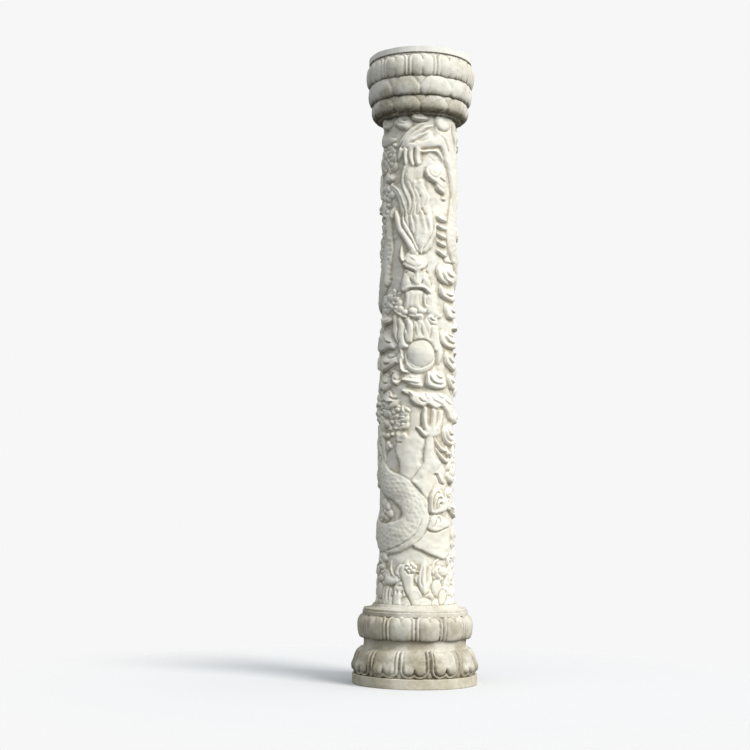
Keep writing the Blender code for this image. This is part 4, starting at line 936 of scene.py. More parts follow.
def carve_upper_dragon(sheet):
    """Its face looks out in front, with its mane streaming up to the hand that holds it."""
    # domes of cloud under the capital, and the shoulder that runs out into the forearm
    slab(sheet, [(-74, 99.4), (-68, 98), (-58, 97.7), (-50, 98.6), (-49, 100), (-58, 101.2),
                 (-70, 101)], 1.25, rim=9)
    slab(sheet, [(-13, 99.8), (-9, 98.9), (1, 98.6), (10, 99.1), (13, 100.2), (8, 101.4), (-8, 101.4)],
         1.3, rim=8)
    slab(sheet, [(-41, 98.9), (-36, 97.6), (-28, 96.9), (-20, 96.9), (-13, 98), (-12, 99.4),
                 (-20, 100.1), (-33, 100)], 1.35, rim=12)
    for spots in ([(-35, 99.2), (-31, 98.3), (-22, 98)], [(-65, 100), (-63, 99), (-56, 98.8)],
                  [(-6, 100.4), (-3, 99.8), (4, 99.7)]):
        ledge(sheet, spots, 2.4, 0.2, 9, 0.5)
    ledge(sheet, [(-20, 100.6), (-16, 99.8), (-11, 99), (0, 98.7), (10, 99), (14, 99.8)], 3.4, 0.3, 12,
          0.8)
    slab(sheet, [(-76, 97.4), (-62, 97.8), (-46, 97.1), (-37, 95.8), (-41, 94.8), (-56, 94.2),
                 (-76, 94.6)], 0.95, rim=9)
    slab(sheet, SHOULDER, 0.95, rim=12, lean=0.1)
    slab(sheet, [(25, 98.4), (28, 99.7), (36, 100.2), (46, 99.8), (52, 98.6), (48, 97.5), (38, 97.1),
                 (29, 97.4)], 1.1, rim=9)
    ledge(sheet, [(55, 99.2), (57, 97.6), (61, 96), (66, 94.6), (70, 92)], 3.2, 0.2, 11, 0.9)
    ledge(sheet, [(30, 96.2), (38, 95.8), (46, 94.6), (52, 92.6)], 2.6, 0.15, 10, 0.4)
    for spots in ([(6, 98.3), (-8, 97.3), (-18, 96.2), (-27, 94.8), (-36, 93.4)],
                  [(20, 98), (6, 97.1), (-8, 96), (-20, 94.7), (-30, 93.2)],
                  [(14, 96.6), (2, 96), (-8, 95.2), (-18, 94.2), (-25, 93)]):
        leaf(sheet, [(*spot, width) for spot, width in zip(spots, (2, 5, 7, 6, 2))], 1.1, rim=5,
             cut=1.6, fade=1.5)
    slab(sheet, MANE, 0.6, rim=12, lean=0)
    for keys in MANE_LOCKS:
        leaf(sheet, keys, 0.95, rim=8, lean=0, cut=2, fade=1)
        groove(sheet, [(angle, percent, 2.4) for angle, percent, _ in keys[1:-1]], 0.3)
    # the narrow band along the forearm, and the hand in the mane
    slab(sheet, [(-6, 92.6), (6, 92), (14, 92.2), (25, 92.2), (32, 91.4), (38, 90.5), (41, 91.6),
                 (34, 93.2), (20, 93.2), (4, 93)], 0.8, rim=5, lean=0.1)
    ledge(sheet, [(14, 91.5), (19, 91), (26, 90.3)], 1.8, 0.1, 8, 0.3)
    for keys in ([(-1.5, 93.4, 8), (-2, 91.4, 9), (-2.5, 90.2, 8), (-4, 89.4, 2)],
                 [(-11, 93.4, 8), (-11.5, 91.3, 9), (-10.5, 89.9, 7), (-11.5, 89.2, 2)],
                 [(-19, 93.2, 8), (-21, 91.4, 8.5), (-21, 90.2, 7), (-22, 89.4, 2)],
                 [(-26, 93.2, 7), (-31, 92, 7), (-36, 90.8, 3)]):
        leaf(sheet, keys, 1.25, rim=6, cut=2, fade=1, lean=0)
    boss(sheet, (-11, 93.5), (26, 8), 1.15, 0.5, cut=0, over=True)
    # the cloud over the shoulder's hollow, and smaller ones beside it and on the left
    slab(sheet, CREST_CLOUD, 1.1, rim=7, lean=0.35)
    ledge(sheet, [(32, 87.2), (36, 86.7), (46, 86.5)], 3, 0.3, 10, 0.8)
    ledge(sheet, [(17, 89.2), (14, 88.3), (18, 87.4), (26, 87.1), (31, 87.9), (28, 88.7)], 2, 0.16, 8,
          0.4)
    ledge(sheet, [(21, 88.8), (20, 88.1), (24, 87.8), (27, 88.1)], 1.8, 0.12, 6, 0.3)
    ledge(sheet, [(27, 86), (30, 85.3), (36, 85), (42, 85.2)], 2, 0.16, 8, 0.35)
    dent(sheet, (8, 87.2), (7, 8), 0.4)
    boss(sheet, (41, 82.9), (8, 5), 0.9, 0.3)
    slab(sheet, [(-64, 87.4), (-54, 86.5), (-43, 86.9), (-40, 88), (-45, 88.9), (-58, 89)], 1.05)
    # horns
    slab(sheet, [(-51, 79.4), (-46, 78.5), (-40, 79.6), (-37.5, 80.8), (-42, 81.4), (-49, 80.6)], 1.15)
    bar(sheet, [(8, 71.8, 6), (16, 73.2, 6), (23, 75.2, 5), (28, 77.4, 2)], 0.9, 0.4)
    bar(sheet, [(-5, 72, 7), (-11, 73.8, 7), (-17, 75.4, 7), (-23, 77.4, 5), (-26, 79, 2)], 1.0, 0.5)
    bar(sheet, [(-9, 71.6, 9), (-15, 73.4, 8.5), (-23, 75, 8), (-31, 76.8, 8.5), (-36, 78.6, 8),
                (-38, 80, 4)], 1.25, 0.5, cut=3)
    # the fins on the edge of the body
    for percent in (79, 77.2, 75.4, 73.7, 71.8):
        slab(sheet, [(48, percent - 0.9), (36, percent - 0.8), (29.5, percent - 0.1),
                     (31, percent + 0.5), (40, percent + 0.6), (50, percent + 0.5)], 1.0, rim=5,
             lean=0.35)
    ledge(sheet, [(41, 71.4), (46, 70), (58, 69.8), (74, 69.8)], 3, 0.2, 12, 0.7)
    front_face(sheet)


def carve_lower_dragon(sheet):
    """Its face is on the left under its horns, and its raised hand in front over its body's bend."""
    for spots in LOWER_MANE:
        tress(sheet, spots, 8)
    for side in (-1, 1):
        bar(sheet, [(-88 + side * 10, 43.2, 8), (-88 + side * 17, 45.4, 7), (-88 + side * 19, 47.8, 6),
                    (-88 + side * 14, 50, 3)], 1.1, 0.5, strands=2)
    face(sheet, (-88, 39.2), 34)
    for keys in ELBOW_LEAVES:
        leaf(sheet, keys, 1.0, rim=6, lean=0.3)
    ledge(sheet, [(28, 26.4), (35, 26.3), (38, 25.4), (42, 24.6), (51, 24.2)], 3.4, 0.3, 14, 1.0)
    for keys in ([(17, 33.9, 10), (10, 34.8, 9), (5, 35.6, 7)],
                 [(19, 34.8, 10), (13.6, 36.6, 9), (12.4, 38.2, 9), (13, 39.6, 7)],
                 [(25.5, 35, 9), (27, 37, 9.6), (28, 39.3, 8)],
                 [(31, 34.8, 9), (37, 36.8, 9.4), (41, 38.8, 7)]):
        leaf(sheet, [*keys, (keys[-1][0] + keys[-1][0] - keys[-2][0], keys[-1][1] + 0.4, 2)], 1.15,
             rim=7, cut=2, fade=1, lean=0)
    boss(sheet, (24.5, 34.7), (22, 15), 1.08, 0.8, cut=0, over=True)
    ledge(sheet, [(6.5, 38.6), (6.5, 36.8), (10, 35.7), (15, 35)], 2.6, 0.1, 8, 0.6)


def carve_shaft(grain):
    """The whole relief, what lies behind first, with the ground left slightly uneven by the chisel."""
    sheet = Sheet(grain)
    angle = np.arange(sheet.columns)[None] * sheet.step[0] / SHAFT_RADIUS
    rise = np.arange(sheet.rows)[:, None] * sheet.step[1]
    sheet.height += GROUND_SWELL * (np.sin(3 * angle + 1.1) * np.sin(5.3 * rise)
                                    + np.sin(7 * angle) * np.sin(11.7 * rise + 2))
    carve_clouds_behind(sheet)
    carve_waves(sheet)
    fins(sheet, *body(sheet, UPPER_BODY, 1.15, -1), 1, pitch=24, size=0.3)
    slab(sheet, PLATE, 0.62, rim=6, lean=0.1)
    ledge(sheet, [(-33, 32.9), (-28, 32.5), (-22, 32.5)], 2.6, 0.2, 9, 0.5)
    boss(sheet, (-19, 33.8), (9, 9), 0.9, 0.6, cut=0, over=True)
    slab(sheet, ARM, 0.95, rim=12, lean=0.2)
    # the hind leg, a smooth form over a sharp lower edge, and its claw
    claw(sheet, (54, 9.8), aim=-12, size=15)
    slab(sheet, [(-12, 13), (-7, 12.1), (-1, 11.3), (8, 10.9), (15, 10.4), (21, 10), (36, 9.4),
                 (48, 9.2), (60, 10.4), (68, 13), (64, 16.5), (44, 18), (24, 18.5), (10, 18), (-4, 16)],
         0.8, rim=5, lean=0.25)
    # the shoulder over the body's bend on the left
    slab(sheet, [(-66, 30.6), (-57, 31.2), (-49, 30.2), (-43.5, 27.8), (-40, 25.4), (-50, 24.4),
                 (-66, 25.4)], 0.95, rim=9, lean=0.1)
    body(sheet, LOWER_BODY, 1.05, 1, cut=1.4)
    # the scales lie over a plain band along the bend's outer edge
    ledge(sheet, [(-56, 10.6), (-40, 11.2), (-22, 12), (-8, 13.3), (2, 15), (7.5, 17.6)], 2.4, 0.12, 9,
          0.5)
    carve_foam(sheet)
    for angle, percent, size, turn, hand, lobes in SIDE_SCROLLS:
        cloud(sheet, (angle, percent), size, turn, hand, 0.9, lobes)
    for angle, percent, size, hand in FRONT_PUFFS:
        puff(sheet, (angle, percent), size, hand, 1.35)
    limb(sheet, [(120, 61, 24), (130, 55.5, 17), (122, 51, 12), (113, 48.6, 10)], aim=250, size=18)
    limb(sheet, [(84, 83, 20), (102, 85.5, 14), (114, 89.5, 11)], aim=70, size=18)
    limb(sheet, [(-150, 20.5, 22), (-160, 14.5, 15), (-150, 11, 11)], aim=-60, size=18)
    limb(sheet, [(-84, 26, 20), (-108, 27.5, 14), (-122, 32, 11)], aim=110, size=18)
    carve_upper_dragon(sheet)
    pearl(sheet)
    carve_forms(sheet, LEFT_CLOUDS, 1.15)
    carve_forms(sheet, CHIN_CLOUDS, 1.0)
    for angle, percent, wide, tall in CHIN_LUMPS:
        boss(sheet, (angle, percent), (wide, tall), 1.25, 0.6, cut=1.2)
    carve_forms(sheet, RIGHT_CLOUDS, 1.1)
    # dents down the right edge of the last cloud on the left
    for i in range(10):
        dent(sheet, (-49.5 + 1.5 * math.cos(2 * i), 75 - i), (6, 4), 0.3)
    # the slanting cloud under the pearl
    slab(sheet, [(-25, 45.3), (-16, 44.4), (-6, 43.8), (5, 43.7), (10, 44.6), (9, 46.4), (0, 46.9),
                 (-14, 46.3)], 0.95)
    ledge(sheet, [(-21, 45), (-12, 44.7), (-2, 44.5), (8, 44.6)], 2.2, 0.25, 8, 0.5)
    ledge(sheet, [(-14, 45.8), (-6, 45.5), (2, 45.6)], 2.2, 0.2, 8, 0.4)
    slab(sheet, BANK, 1.05, rim=6, lean=0.2)
    for spots in BANK_LINES:
        ledge(sheet, spots, 2.4, 0.28, 10, 0.5)
    for angle, percent, wide, tall in FRONT_KNOBS:
        boss(sheet, (angle, percent), (wide, tall), 0.95, 0.3)
        dent(sheet, around((angle, percent), 200, wide * 0.25), (wide * 0.34, tall * 0.34), 0.3)
    carve_lower_dragon(sheet)
    sheet.wander(reach=0.05, stray=0.004)
    for seed, reach, rise in ((21, 0.014, 0.0011), (22, 0.036, 0.0018)):
        sheet.height += rise * unevenness(seed, sheet.height.shape, reach, sheet.step)
    sheet.wear(least=0.0022, most=0.0045, reach=0.12)
    return sheet


# Petals: heights from 0 to 1 over a band. u is how far a point lies from its petal's middle and v
# how far over the band's foot, in metres; width and height are the petal's own

PANEL = 0.365             # half the width of a petal's smooth panel, as a share of the petal's width
PANEL_GROOVE = 0.008
RIM = 0.0105              # half the width of the rim


def two_lobed(u, v, half, start):
    """How far inside a panel a point lies. The panel runs up from start, and ends below it in two half
    rounds side by side, with a cusp between them."""
    lobe = half / 2
    above = np.minimum(half - np.abs(u), np.hypot(u, v - start))
    below = lobe - np.hypot(np.abs(u) - lobe, v - start)
    return np.where(v > start, above, below)


def lobed_petal(u, v, width, height):
    """A petal that hangs and ends in two lobes: a panel that is flat and sunk at its root and
    swells in its lobes, a groove round it, a rim that follows both, and the point of the petal
    behind it in the corner between the lobes of two neighbours."""
    half = PANEL * width
    start = 0.13 * height + half / 2
    inside = two_lobed(u, v, half, start)
    swelling = 0.50 + 0.75 * (1 - smooth((v - start + 0.01) / (0.26 * height)))
    panel = 0.15 + (swelling - 0.15) * smooth(inside / 0.016 + 0.1) ** 0.6
    furrow = (1 - smooth(np.abs(u) / (0.08 * half + 0.30 * (start + 0.05 - v)).clip(0.004))) * 0.25
    panel = panel - furrow * smooth((start + 0.05 - v) / 0.05)
    rim = 0.45 + 0.55 * np.sqrt(np.clip(1 - ((-inside - PANEL_GROOVE - RIM) / RIM) ** 2, 0, 1))
    from_joint = width / 2 - np.abs(u)
    tip_half = 0.026 * smooth((0.30 * height - v) / (0.24 * height))
    tip = 0.20 + 0.26 * smooth((tip_half - from_joint) / 0.012)
    top = np.where(from_joint < tip_half, tip, 0.12)
    top = np.where(-inside < PANEL_GROOVE + 2 * RIM, rim, top)
    top = np.where(-inside < PANEL_GROOVE, 0.02, top)
    return np.where(inside > 0, panel, top)


def upright_petal(u, v, width, height):
    """The same petal the other way up, with a panel that swells evenly."""
    half = PANEL * width
    v = height - v
    start = 0.07 * height + half / 2
    inside = two_lobed(u, v, half, start)
    panel = 0.40 + 0.38 * smooth(inside / 0.014) + 0.22 * smooth(inside / 0.08)
    rim = 0.55 + 0.38 * np.sqrt(np.clip(1 - ((-inside - PANEL_GROOVE - RIM) / RIM) ** 2, 0, 1))
    top = np.where(-inside < PANEL_GROOVE + 2 * RIM, rim, 0.30)
    top = np.where(-inside < PANEL_GROOVE, 0.42, top)
    return np.where(inside > 0, panel, top)


def notched_petal(u, v, width, height):
    """An upright petal with a short cut up from its foot between its lobes."""
    top = upright_petal(u, v, width, height)
    cut = 0.5 * (1 - smooth(np.abs(u) / 0.010)) * (1 - smooth((v - 0.22 * height) / (0.2 * height)))
    return top - cut


def roll_petal(u, v, width, height):
    """A long cushion. The cut between two of them is a short stem that parts upwards into a V, and
    the V holds the point of the cushion behind."""
    share = v / height
    from_joint = width / 2 - np.abs(u)
    arm = 0.062 * smooth((share - 0.38) / 0.62)
    beyond = from_joint - arm
    cushion = 0.50 + 0.50 * np.sqrt(1 - np.clip(1 - beyond / 0.05, 0, 1) ** 2)
    point = 0.52 + 0.40 * smooth(-beyond / 0.030)
    cut = 1 - smooth(np.abs(beyond) / 0.012)
    return np.where(beyond > 0, cushion, point) - (0.30 - 0.16 * smooth(share / 0.9)) * cut


# Turned blocks

BAND_FADE = 0.006         # over which petals die out at a band's foot and top
BED_FADE = 0.04           # over which the unevenness dies out towards a bed
SWAY_TURN = 2.4           # from one joint's stray to the next, in radians


def profile(parts, passes):
    """A turned block's outline, from the axis under it to the axis over it, in even steps, with its
    corners worn round by averaging each point with its neighbours. Gives radius, height, the outward
    direction and the length run so far, and the lengths between which each named part lies."""
    corners = np.array([spot for _, spots in parts for spot in spots], float)
    run = np.concatenate([[0], np.cumsum(np.hypot(*np.diff(corners, axis=0).T))])
    spans, first = {}, 0
    for name, spots in parts:
        spans[name] = (run[first], run[first + len(spots) - 1])
        first += len(spots)
    count = round(run[-1] / PROFILE_STEP)
    along = np.linspace(0, run[-1], count + 1)
    line = np.stack([np.interp(along, run, corners[:, k]) for k in (0, 1)], -1)
    for _ in range(passes):
        line[1:-1] = line[1:-1] / 2 + (line[2:] + line[:-2]) / 4
    ahead = np.gradient(line, axis=0)
    ahead = ahead / np.hypot(*ahead.T)[:, None]
    return line[:, 0], line[:, 1], np.stack([ahead[:, 1], -ahead[:, 0]], -1), along, spans


def bulge(foot_radius, foot, radius, widest, top_radius, top):
    """A rounded band from its foot up: two quarter ellipses that meet at its widest."""
    turns = np.linspace(-90, 90, 25)
    spots = []
    for turn in np.radians(turns):
        end, edge = (foot, foot_radius) if turn < 0 else (top, top_radius)
        spots.append((edge + (radius - edge) * math.cos(turn),
                      widest + (end - widest) * abs(math.sin(turn))))
    return spots


def petals_round(angle, along, span, radius, petal, count, edge, sway):
    """A band's petals over the whole block. Their joints start at edge, in degrees, and stray by up to
    sway from even spacing, as hand-cut ones do."""
    number = np.arange(count + 2)
    stray = sway * np.sin(number % count * SWAY_TURN + edge)
    joints = edge - 360 / count + number * 360 / count + stray
    turned = np.mod(np.degrees(angle) - joints[0], 360) + joints[0]
    at = np.clip(np.searchsorted(joints, turned, side="right"), 1, count + 1)
    left, right = joints[at - 1], joints[at]
    across = (turned - (left + right) / 2) / (right - left)
    width = np.radians(right - left) * radius
    height = span[1] - span[0]
    u, v = np.meshgrid(across * width, along - span[0])
    top = petal(u, v, np.broadcast_to(width, u.shape), height)
    inside = smooth((along - span[0]) / BAND_FADE) * smooth((span[1] - along) / BAND_FADE)
    return (top - 0.5) * inside[:, None] * ((along >= span[0]) & (along <= span[1]))[:, None]


LEVEL = 0.5               # a point's hollow where it lies neither in a cut nor on an edge

# how wide the stone round a point is looked at, and how far under its average a full cut lies

NEAR_REACH, NEAR_SPAN = 0.008, 0.016
WIDE_REACH, WIDE_SPAN = 0.035, 0.034


def closed_skin(name, radius, rise, hollow_dirt_and_shade):
    """A mesh over a grid of radii and heights that runs round the axis, closed by a point on the axis at
    either end. Each point keeps how deep in a hollow it lies, from 0 on an edge to 1 in a cut; the
    material paints the stone darker by it, as painted shade and as dirt."""
    rows, columns = radius.shape
    angle = np.arange(columns) / columns * 2 * math.pi
    spots = np.stack([radius * np.sin(angle), -radius * np.cos(angle), rise], -1).reshape(-1, 3)
    spots = np.concatenate([spots, [[0, 0, rise[0].mean()], [0, 0, rise[-1].mean()]]])
    here = np.arange(rows * columns).reshape(rows, columns)
    after = np.roll(here, -1, axis=1)
    a, b, c, d = here[:-1].ravel(), after[:-1].ravel(), after[1:].ravel(), here[1:].ravel()
    foot, top = np.full(columns, rows * columns), np.full(columns, rows * columns + 1)
    triangles = np.concatenate([np.stack([a, b, c], -1), np.stack([a, c, d], -1),
                                np.stack([after[0], here[0], foot], -1),
                                np.stack([here[-1], after[-1], top], -1)])
    mesh = bpy.data.meshes.new(name)
    mesh.vertices.add(len(spots))
    mesh.vertices.foreach_set("co", spots.ravel())
    mesh.loops.add(triangles.size)
    mesh.loops.foreach_set("vertex_index", triangles.ravel())
    mesh.polygons.add(len(triangles))
    mesh.polygons.foreach_set("loop_start", np.arange(len(triangles)) * 3)
    mesh.update(calc_edges=True)
    depth = mesh.attributes.new("hollow_dirt_and_shade", "FLOAT", "POINT")
    depth.data.foreach_set("value", np.append(hollow_dirt_and_shade.ravel(), (LEVEL, LEVEL)).astype(np.float32))
    piece = bpy.data.objects.new(name, mesh)
    bpy.context.scene.collection.objects.link(piece)
    return piece


def thinned(piece, triangles):
    """Takes away the points that the form needs least, and shades what is left smooth."""
    thin = piece.modifiers.new("thin", "DECIMATE")
    thin.ratio = triangles / len(piece.data.polygons)
    evaluated = piece.evaluated_get(bpy.context.evaluated_depsgraph_get())
    mesh = bpy.data.meshes.new_from_object(evaluated)
    piece.modifiers.clear()
    piece.data = mesh
    mesh.shade_smooth()


def hollows(height, step):
    """How deep each point lies under the average of what is round it, near and wider: 0 on an edge, 0.5
    on the level and 1 in a cut. The material paints the stone darker by it, as painted shade and as
    dirt."""
    near = (blurred(height, NEAR_REACH, step) - height) / NEAR_SPAN
    wide = (blurred(height, WIDE_REACH, step) - height) / WIDE_SPAN
    return np.clip(LEVEL + near + wide, 0, 1)


TOOLED = 0.0005           # how uneven the chisel left every face, over spans of about 10 mm
UNEVEN = 0.0012           # the same over wider spans
EDGE_CRISP, EDGE_WORN = 0.0055, 0.009       # how far the petals' edges are rounded off
CORNER_REACH = 0.018      # how far round a corner the painted shade and dirt gather


def make_shaft():
    sheet = carve_shaft(SHAFT_GRAIN)
    sheet.height += TOOLED * unevenness(3, sheet.height.shape, 0.010, sheet.step)
    rise = SHAFT_FOOT + np.arange(sheet.rows) * sheet.step[1]
    rise = np.broadcast_to(rise[:, None], sheet.height.shape)
    piece = closed_skin("carved_shaft", SHAFT_RADIUS + sheet.height, rise,
                        hollows(sheet.height, sheet.step))
    thinned(piece, SHAFT_TRIANGLES)
    return piece


OVERHANG_SHADE = 0.55     # how much darker the stone is painted under an overhang: painted shade, and the dirt that gathers where no rain comes


def turned_block(name, parts, bands, passes, seed):
    """A turned block with bands of petals. Each band names its part, its petal, how many there are,
    the angle of their first joint, how high they rise and how far their joints stray."""
    radius, rise, out, along, spans = profile(parts, passes)
    angle = np.arange(TURNED_COLUMNS) / TURNED_COLUMNS * 2 * math.pi
    step = np.array([2 * math.pi * radius.max() / TURNED_COLUMNS, PROFILE_STEP])
    height = np.zeros((len(radius), TURNED_COLUMNS))
    for part, petal, count, edge, depth, sway in bands:
        middle = radius[np.searchsorted(along, np.mean(spans[part]))]
        height += depth * petals_round(angle, along, spans[part], middle, petal, count, edge, sway)
    height = blurred(height, EDGE_CRISP, step)
    worn = smooth(0.5 + 0.5 * unevenness(seed + 1, height.shape, 0.12, step))
    height = height * (1 - worn) + blurred(height, EDGE_WORN, step) * worn
    height += TOOLED * unevenness(seed, height.shape, 0.012, step)
    height += UNEVEN * unevenness(seed + 2, height.shape, 0.05, step)
    # how dark the material paints each point, in cuts, in the corners under mouldings and on undersides:
    # painted shade, and dirt
    dark = hollows(height + standing_out(radius, rise, out)[:, None], step)
    # faces that look down are painted darker: painted shade under the overhangs, with some dirt
    dark = np.clip(dark + OVERHANG_SHADE * smooth(-out[:, 1:] * 1.4 - 0.2), 0, 1)
    height = height * smooth((radius - SHAFT_RADIUS) / BED_FADE)[:, None]
    skin_radius = radius[:, None] + out[:, :1] * height
    skin_rise = np.clip(rise[:, None] + out[:, 1:] * height, rise.min(), rise.max())
    piece = closed_skin(name, skin_radius[1:-1], skin_rise[1:-1], dark[1:-1])
    thinned(piece, BLOCK_TRIANGLES)
    return piece


def standing_out(radius, rise, out):
    """How far each point of a profile stands out along its own outward direction from the average of the
    profile near it, in metres, so that the corners under mouldings are painted darker, as shade and as
    dirt, as cuts are."""
    line = np.stack([radius, rise], -1)
    half = round(CORNER_REACH / PROFILE_STEP)
    total = np.cumsum(np.pad(line, ((half + 1, half), (0, 0)), mode="edge"), axis=0)
    mean = (total[2 * half + 1:] - total[:-2 * half - 1]) / (2 * half + 1)
    return ((line - mean) * out).sum(-1)


def make_base():
    waist_foot = SLAB_HEIGHT + LOWER_LOTUS_HEIGHT
    upper_foot = waist_foot + WAIST_HEIGHT
    bead_foot = upper_foot + UPPER_LOTUS_HEIGHT
    hollow_foot = bead_foot + BEAD_HEIGHT
    parts = [
        ("slab", [(0, 0), (SLAB_RADIUS, 0), (SLAB_RADIUS, SLAB_HEIGHT)]),
        ("lower_lotus", bulge(LOWER_LOTUS_RADIUS - LIP - LOTUS_TUCK, SLAB_HEIGHT, LOWER_LOTUS_RADIUS,
                              SLAB_HEIGHT + LOWER_LOTUS_WIDEST * LOWER_LOTUS_HEIGHT,
                              WAIST_RADIUS + LIP, waist_foot)),
        ("waist", [*((WAIST_RADIUS + out, waist_foot + up) for out, up in WAIST_FLARE),
                   (WAIST_RADIUS, upper_foot)]),
        ("upper_lotus", bulge(WAIST_RADIUS + LIP, upper_foot, UPPER_LOTUS_RADIUS,
                              upper_foot + UPPER_LOTUS_WIDEST * UPPER_LOTUS_HEIGHT,
                              BEAD_RADIUS - LIP, bead_foot)),
        ("bead", [*((BEAD_RADIUS + out, bead_foot + up) for out, up in BEAD_STEPS),
                  (BEAD_RADIUS - BEAD_TUCK, hollow_foot)]),
        ("cove", [(BED_RADIUS + HOLLOW_SPREAD, hollow_foot + COVE_RISE),
                  (BED_RADIUS + HOLLOW_SPREAD / 3, hollow_foot + HOLLOW_HEIGHT / 3),
                  (BED_RADIUS, BASE_TOP)]),
        ("bed", [(0, BASE_TOP)])]
    return turned_block("carved_base", parts, [
        ("lower_lotus", lobed_petal, PETALS, 15, PETAL_DEPTH, PETAL_SWAY),
        ("upper_lotus", upright_petal, PETALS, 0, PETAL_DEPTH, PETAL_SWAY)], passes=2, seed=5)


def make_capital():
    low_foot = CAPITAL_FOOT + UNDERSIDE_HEIGHT
    high_foot = low_foot + LOW_ROLL_HEIGHT
    band_foot = high_foot + HIGH_ROLL_HEIGHT
    groove_foot = band_foot + PETAL_BAND_HEIGHT
    slab_foot = groove_foot + GROOVE_HEIGHT
    top = slab_foot + TOP_SLAB_HEIGHT
    groove_radius = TOP_SLAB_RADIUS - GROOVE_DEPTH
    parts = [
        ("underside", [(0, CAPITAL_FOOT), (BED_RADIUS, CAPITAL_FOOT), (BED_RADIUS + LIP, low_foot)]),
        ("low_roll", bulge(BED_RADIUS + LIP, low_foot, LOW_ROLL_RADIUS,
                           low_foot + LOW_ROLL_WIDEST * LOW_ROLL_HEIGHT,
                           LOW_ROLL_RADIUS - NOTCH_DEPTH, high_foot)),
        ("high_roll", bulge(HIGH_ROLL_RADIUS - NOTCH_DEPTH - ROLL_TUCK, high_foot, HIGH_ROLL_RADIUS,
                            high_foot + HIGH_ROLL_WIDEST * HIGH_ROLL_HEIGHT,
                            HIGH_ROLL_RADIUS - NOTCH_DEPTH, band_foot)),
        ("petal_band", bulge(HIGH_ROLL_RADIUS - NOTCH_DEPTH, band_foot, PETAL_BAND_RADIUS,
                             band_foot + PETAL_BAND_WIDEST * PETAL_BAND_HEIGHT,
                             groove_radius, groove_foot)),
        ("groove", [(groove_radius, slab_foot)]),
        ("slab", [(TOP_SLAB_RADIUS, slab_foot), (TOP_SLAB_RADIUS, top), (0, top)])]
    return turned_block("carved_capital", parts, [
        ("petal_band", notched_petal, PETALS, 17.5, PETAL_DEPTH, PETAL_SWAY),
        ("high_roll", roll_petal, ROLL_PETALS, 1.5, ROLL_PETAL_DEPTH, ROLL_SWAY),
        ("low_roll", roll_petal, ROLL_PETALS, 1, ROLL_PETAL_DEPTH, ROLL_SWAY)], passes=2, seed=8)


# Materials


def linear(hex_colour):
    """An sRGB hex colour as linear red, green, blue and alpha."""
    channels = np.array([int(hex_colour[i:i + 2], 16) for i in (0, 2, 4)]) / 255
    return (*np.where(channels < 0.04045, channels / 12.92, ((channels + 0.055) / 1.055) ** 2.4), 1)


def add(tree, kind, settings=(), inputs=(), links=()):
    """Adds a node, with values by socket and with links from output sockets, by the socket fed."""
    node = tree.nodes.new(kind)
    for name, value in dict(settings).items():
        setattr(node, name, value)
    for socket, value in dict(inputs).items():
        node.inputs[socket].default_value = value
    for socket, source in dict(links).items():
        tree.links.new(source, node.inputs[socket])
    return node


# heights between which a layer of colour comes in

RIM_HEIGHTS = (5.915, 5.935)
TOP_HEIGHTS = (5.995, 5.999)
FOOT_HEIGHTS = (0.096, 0.088)


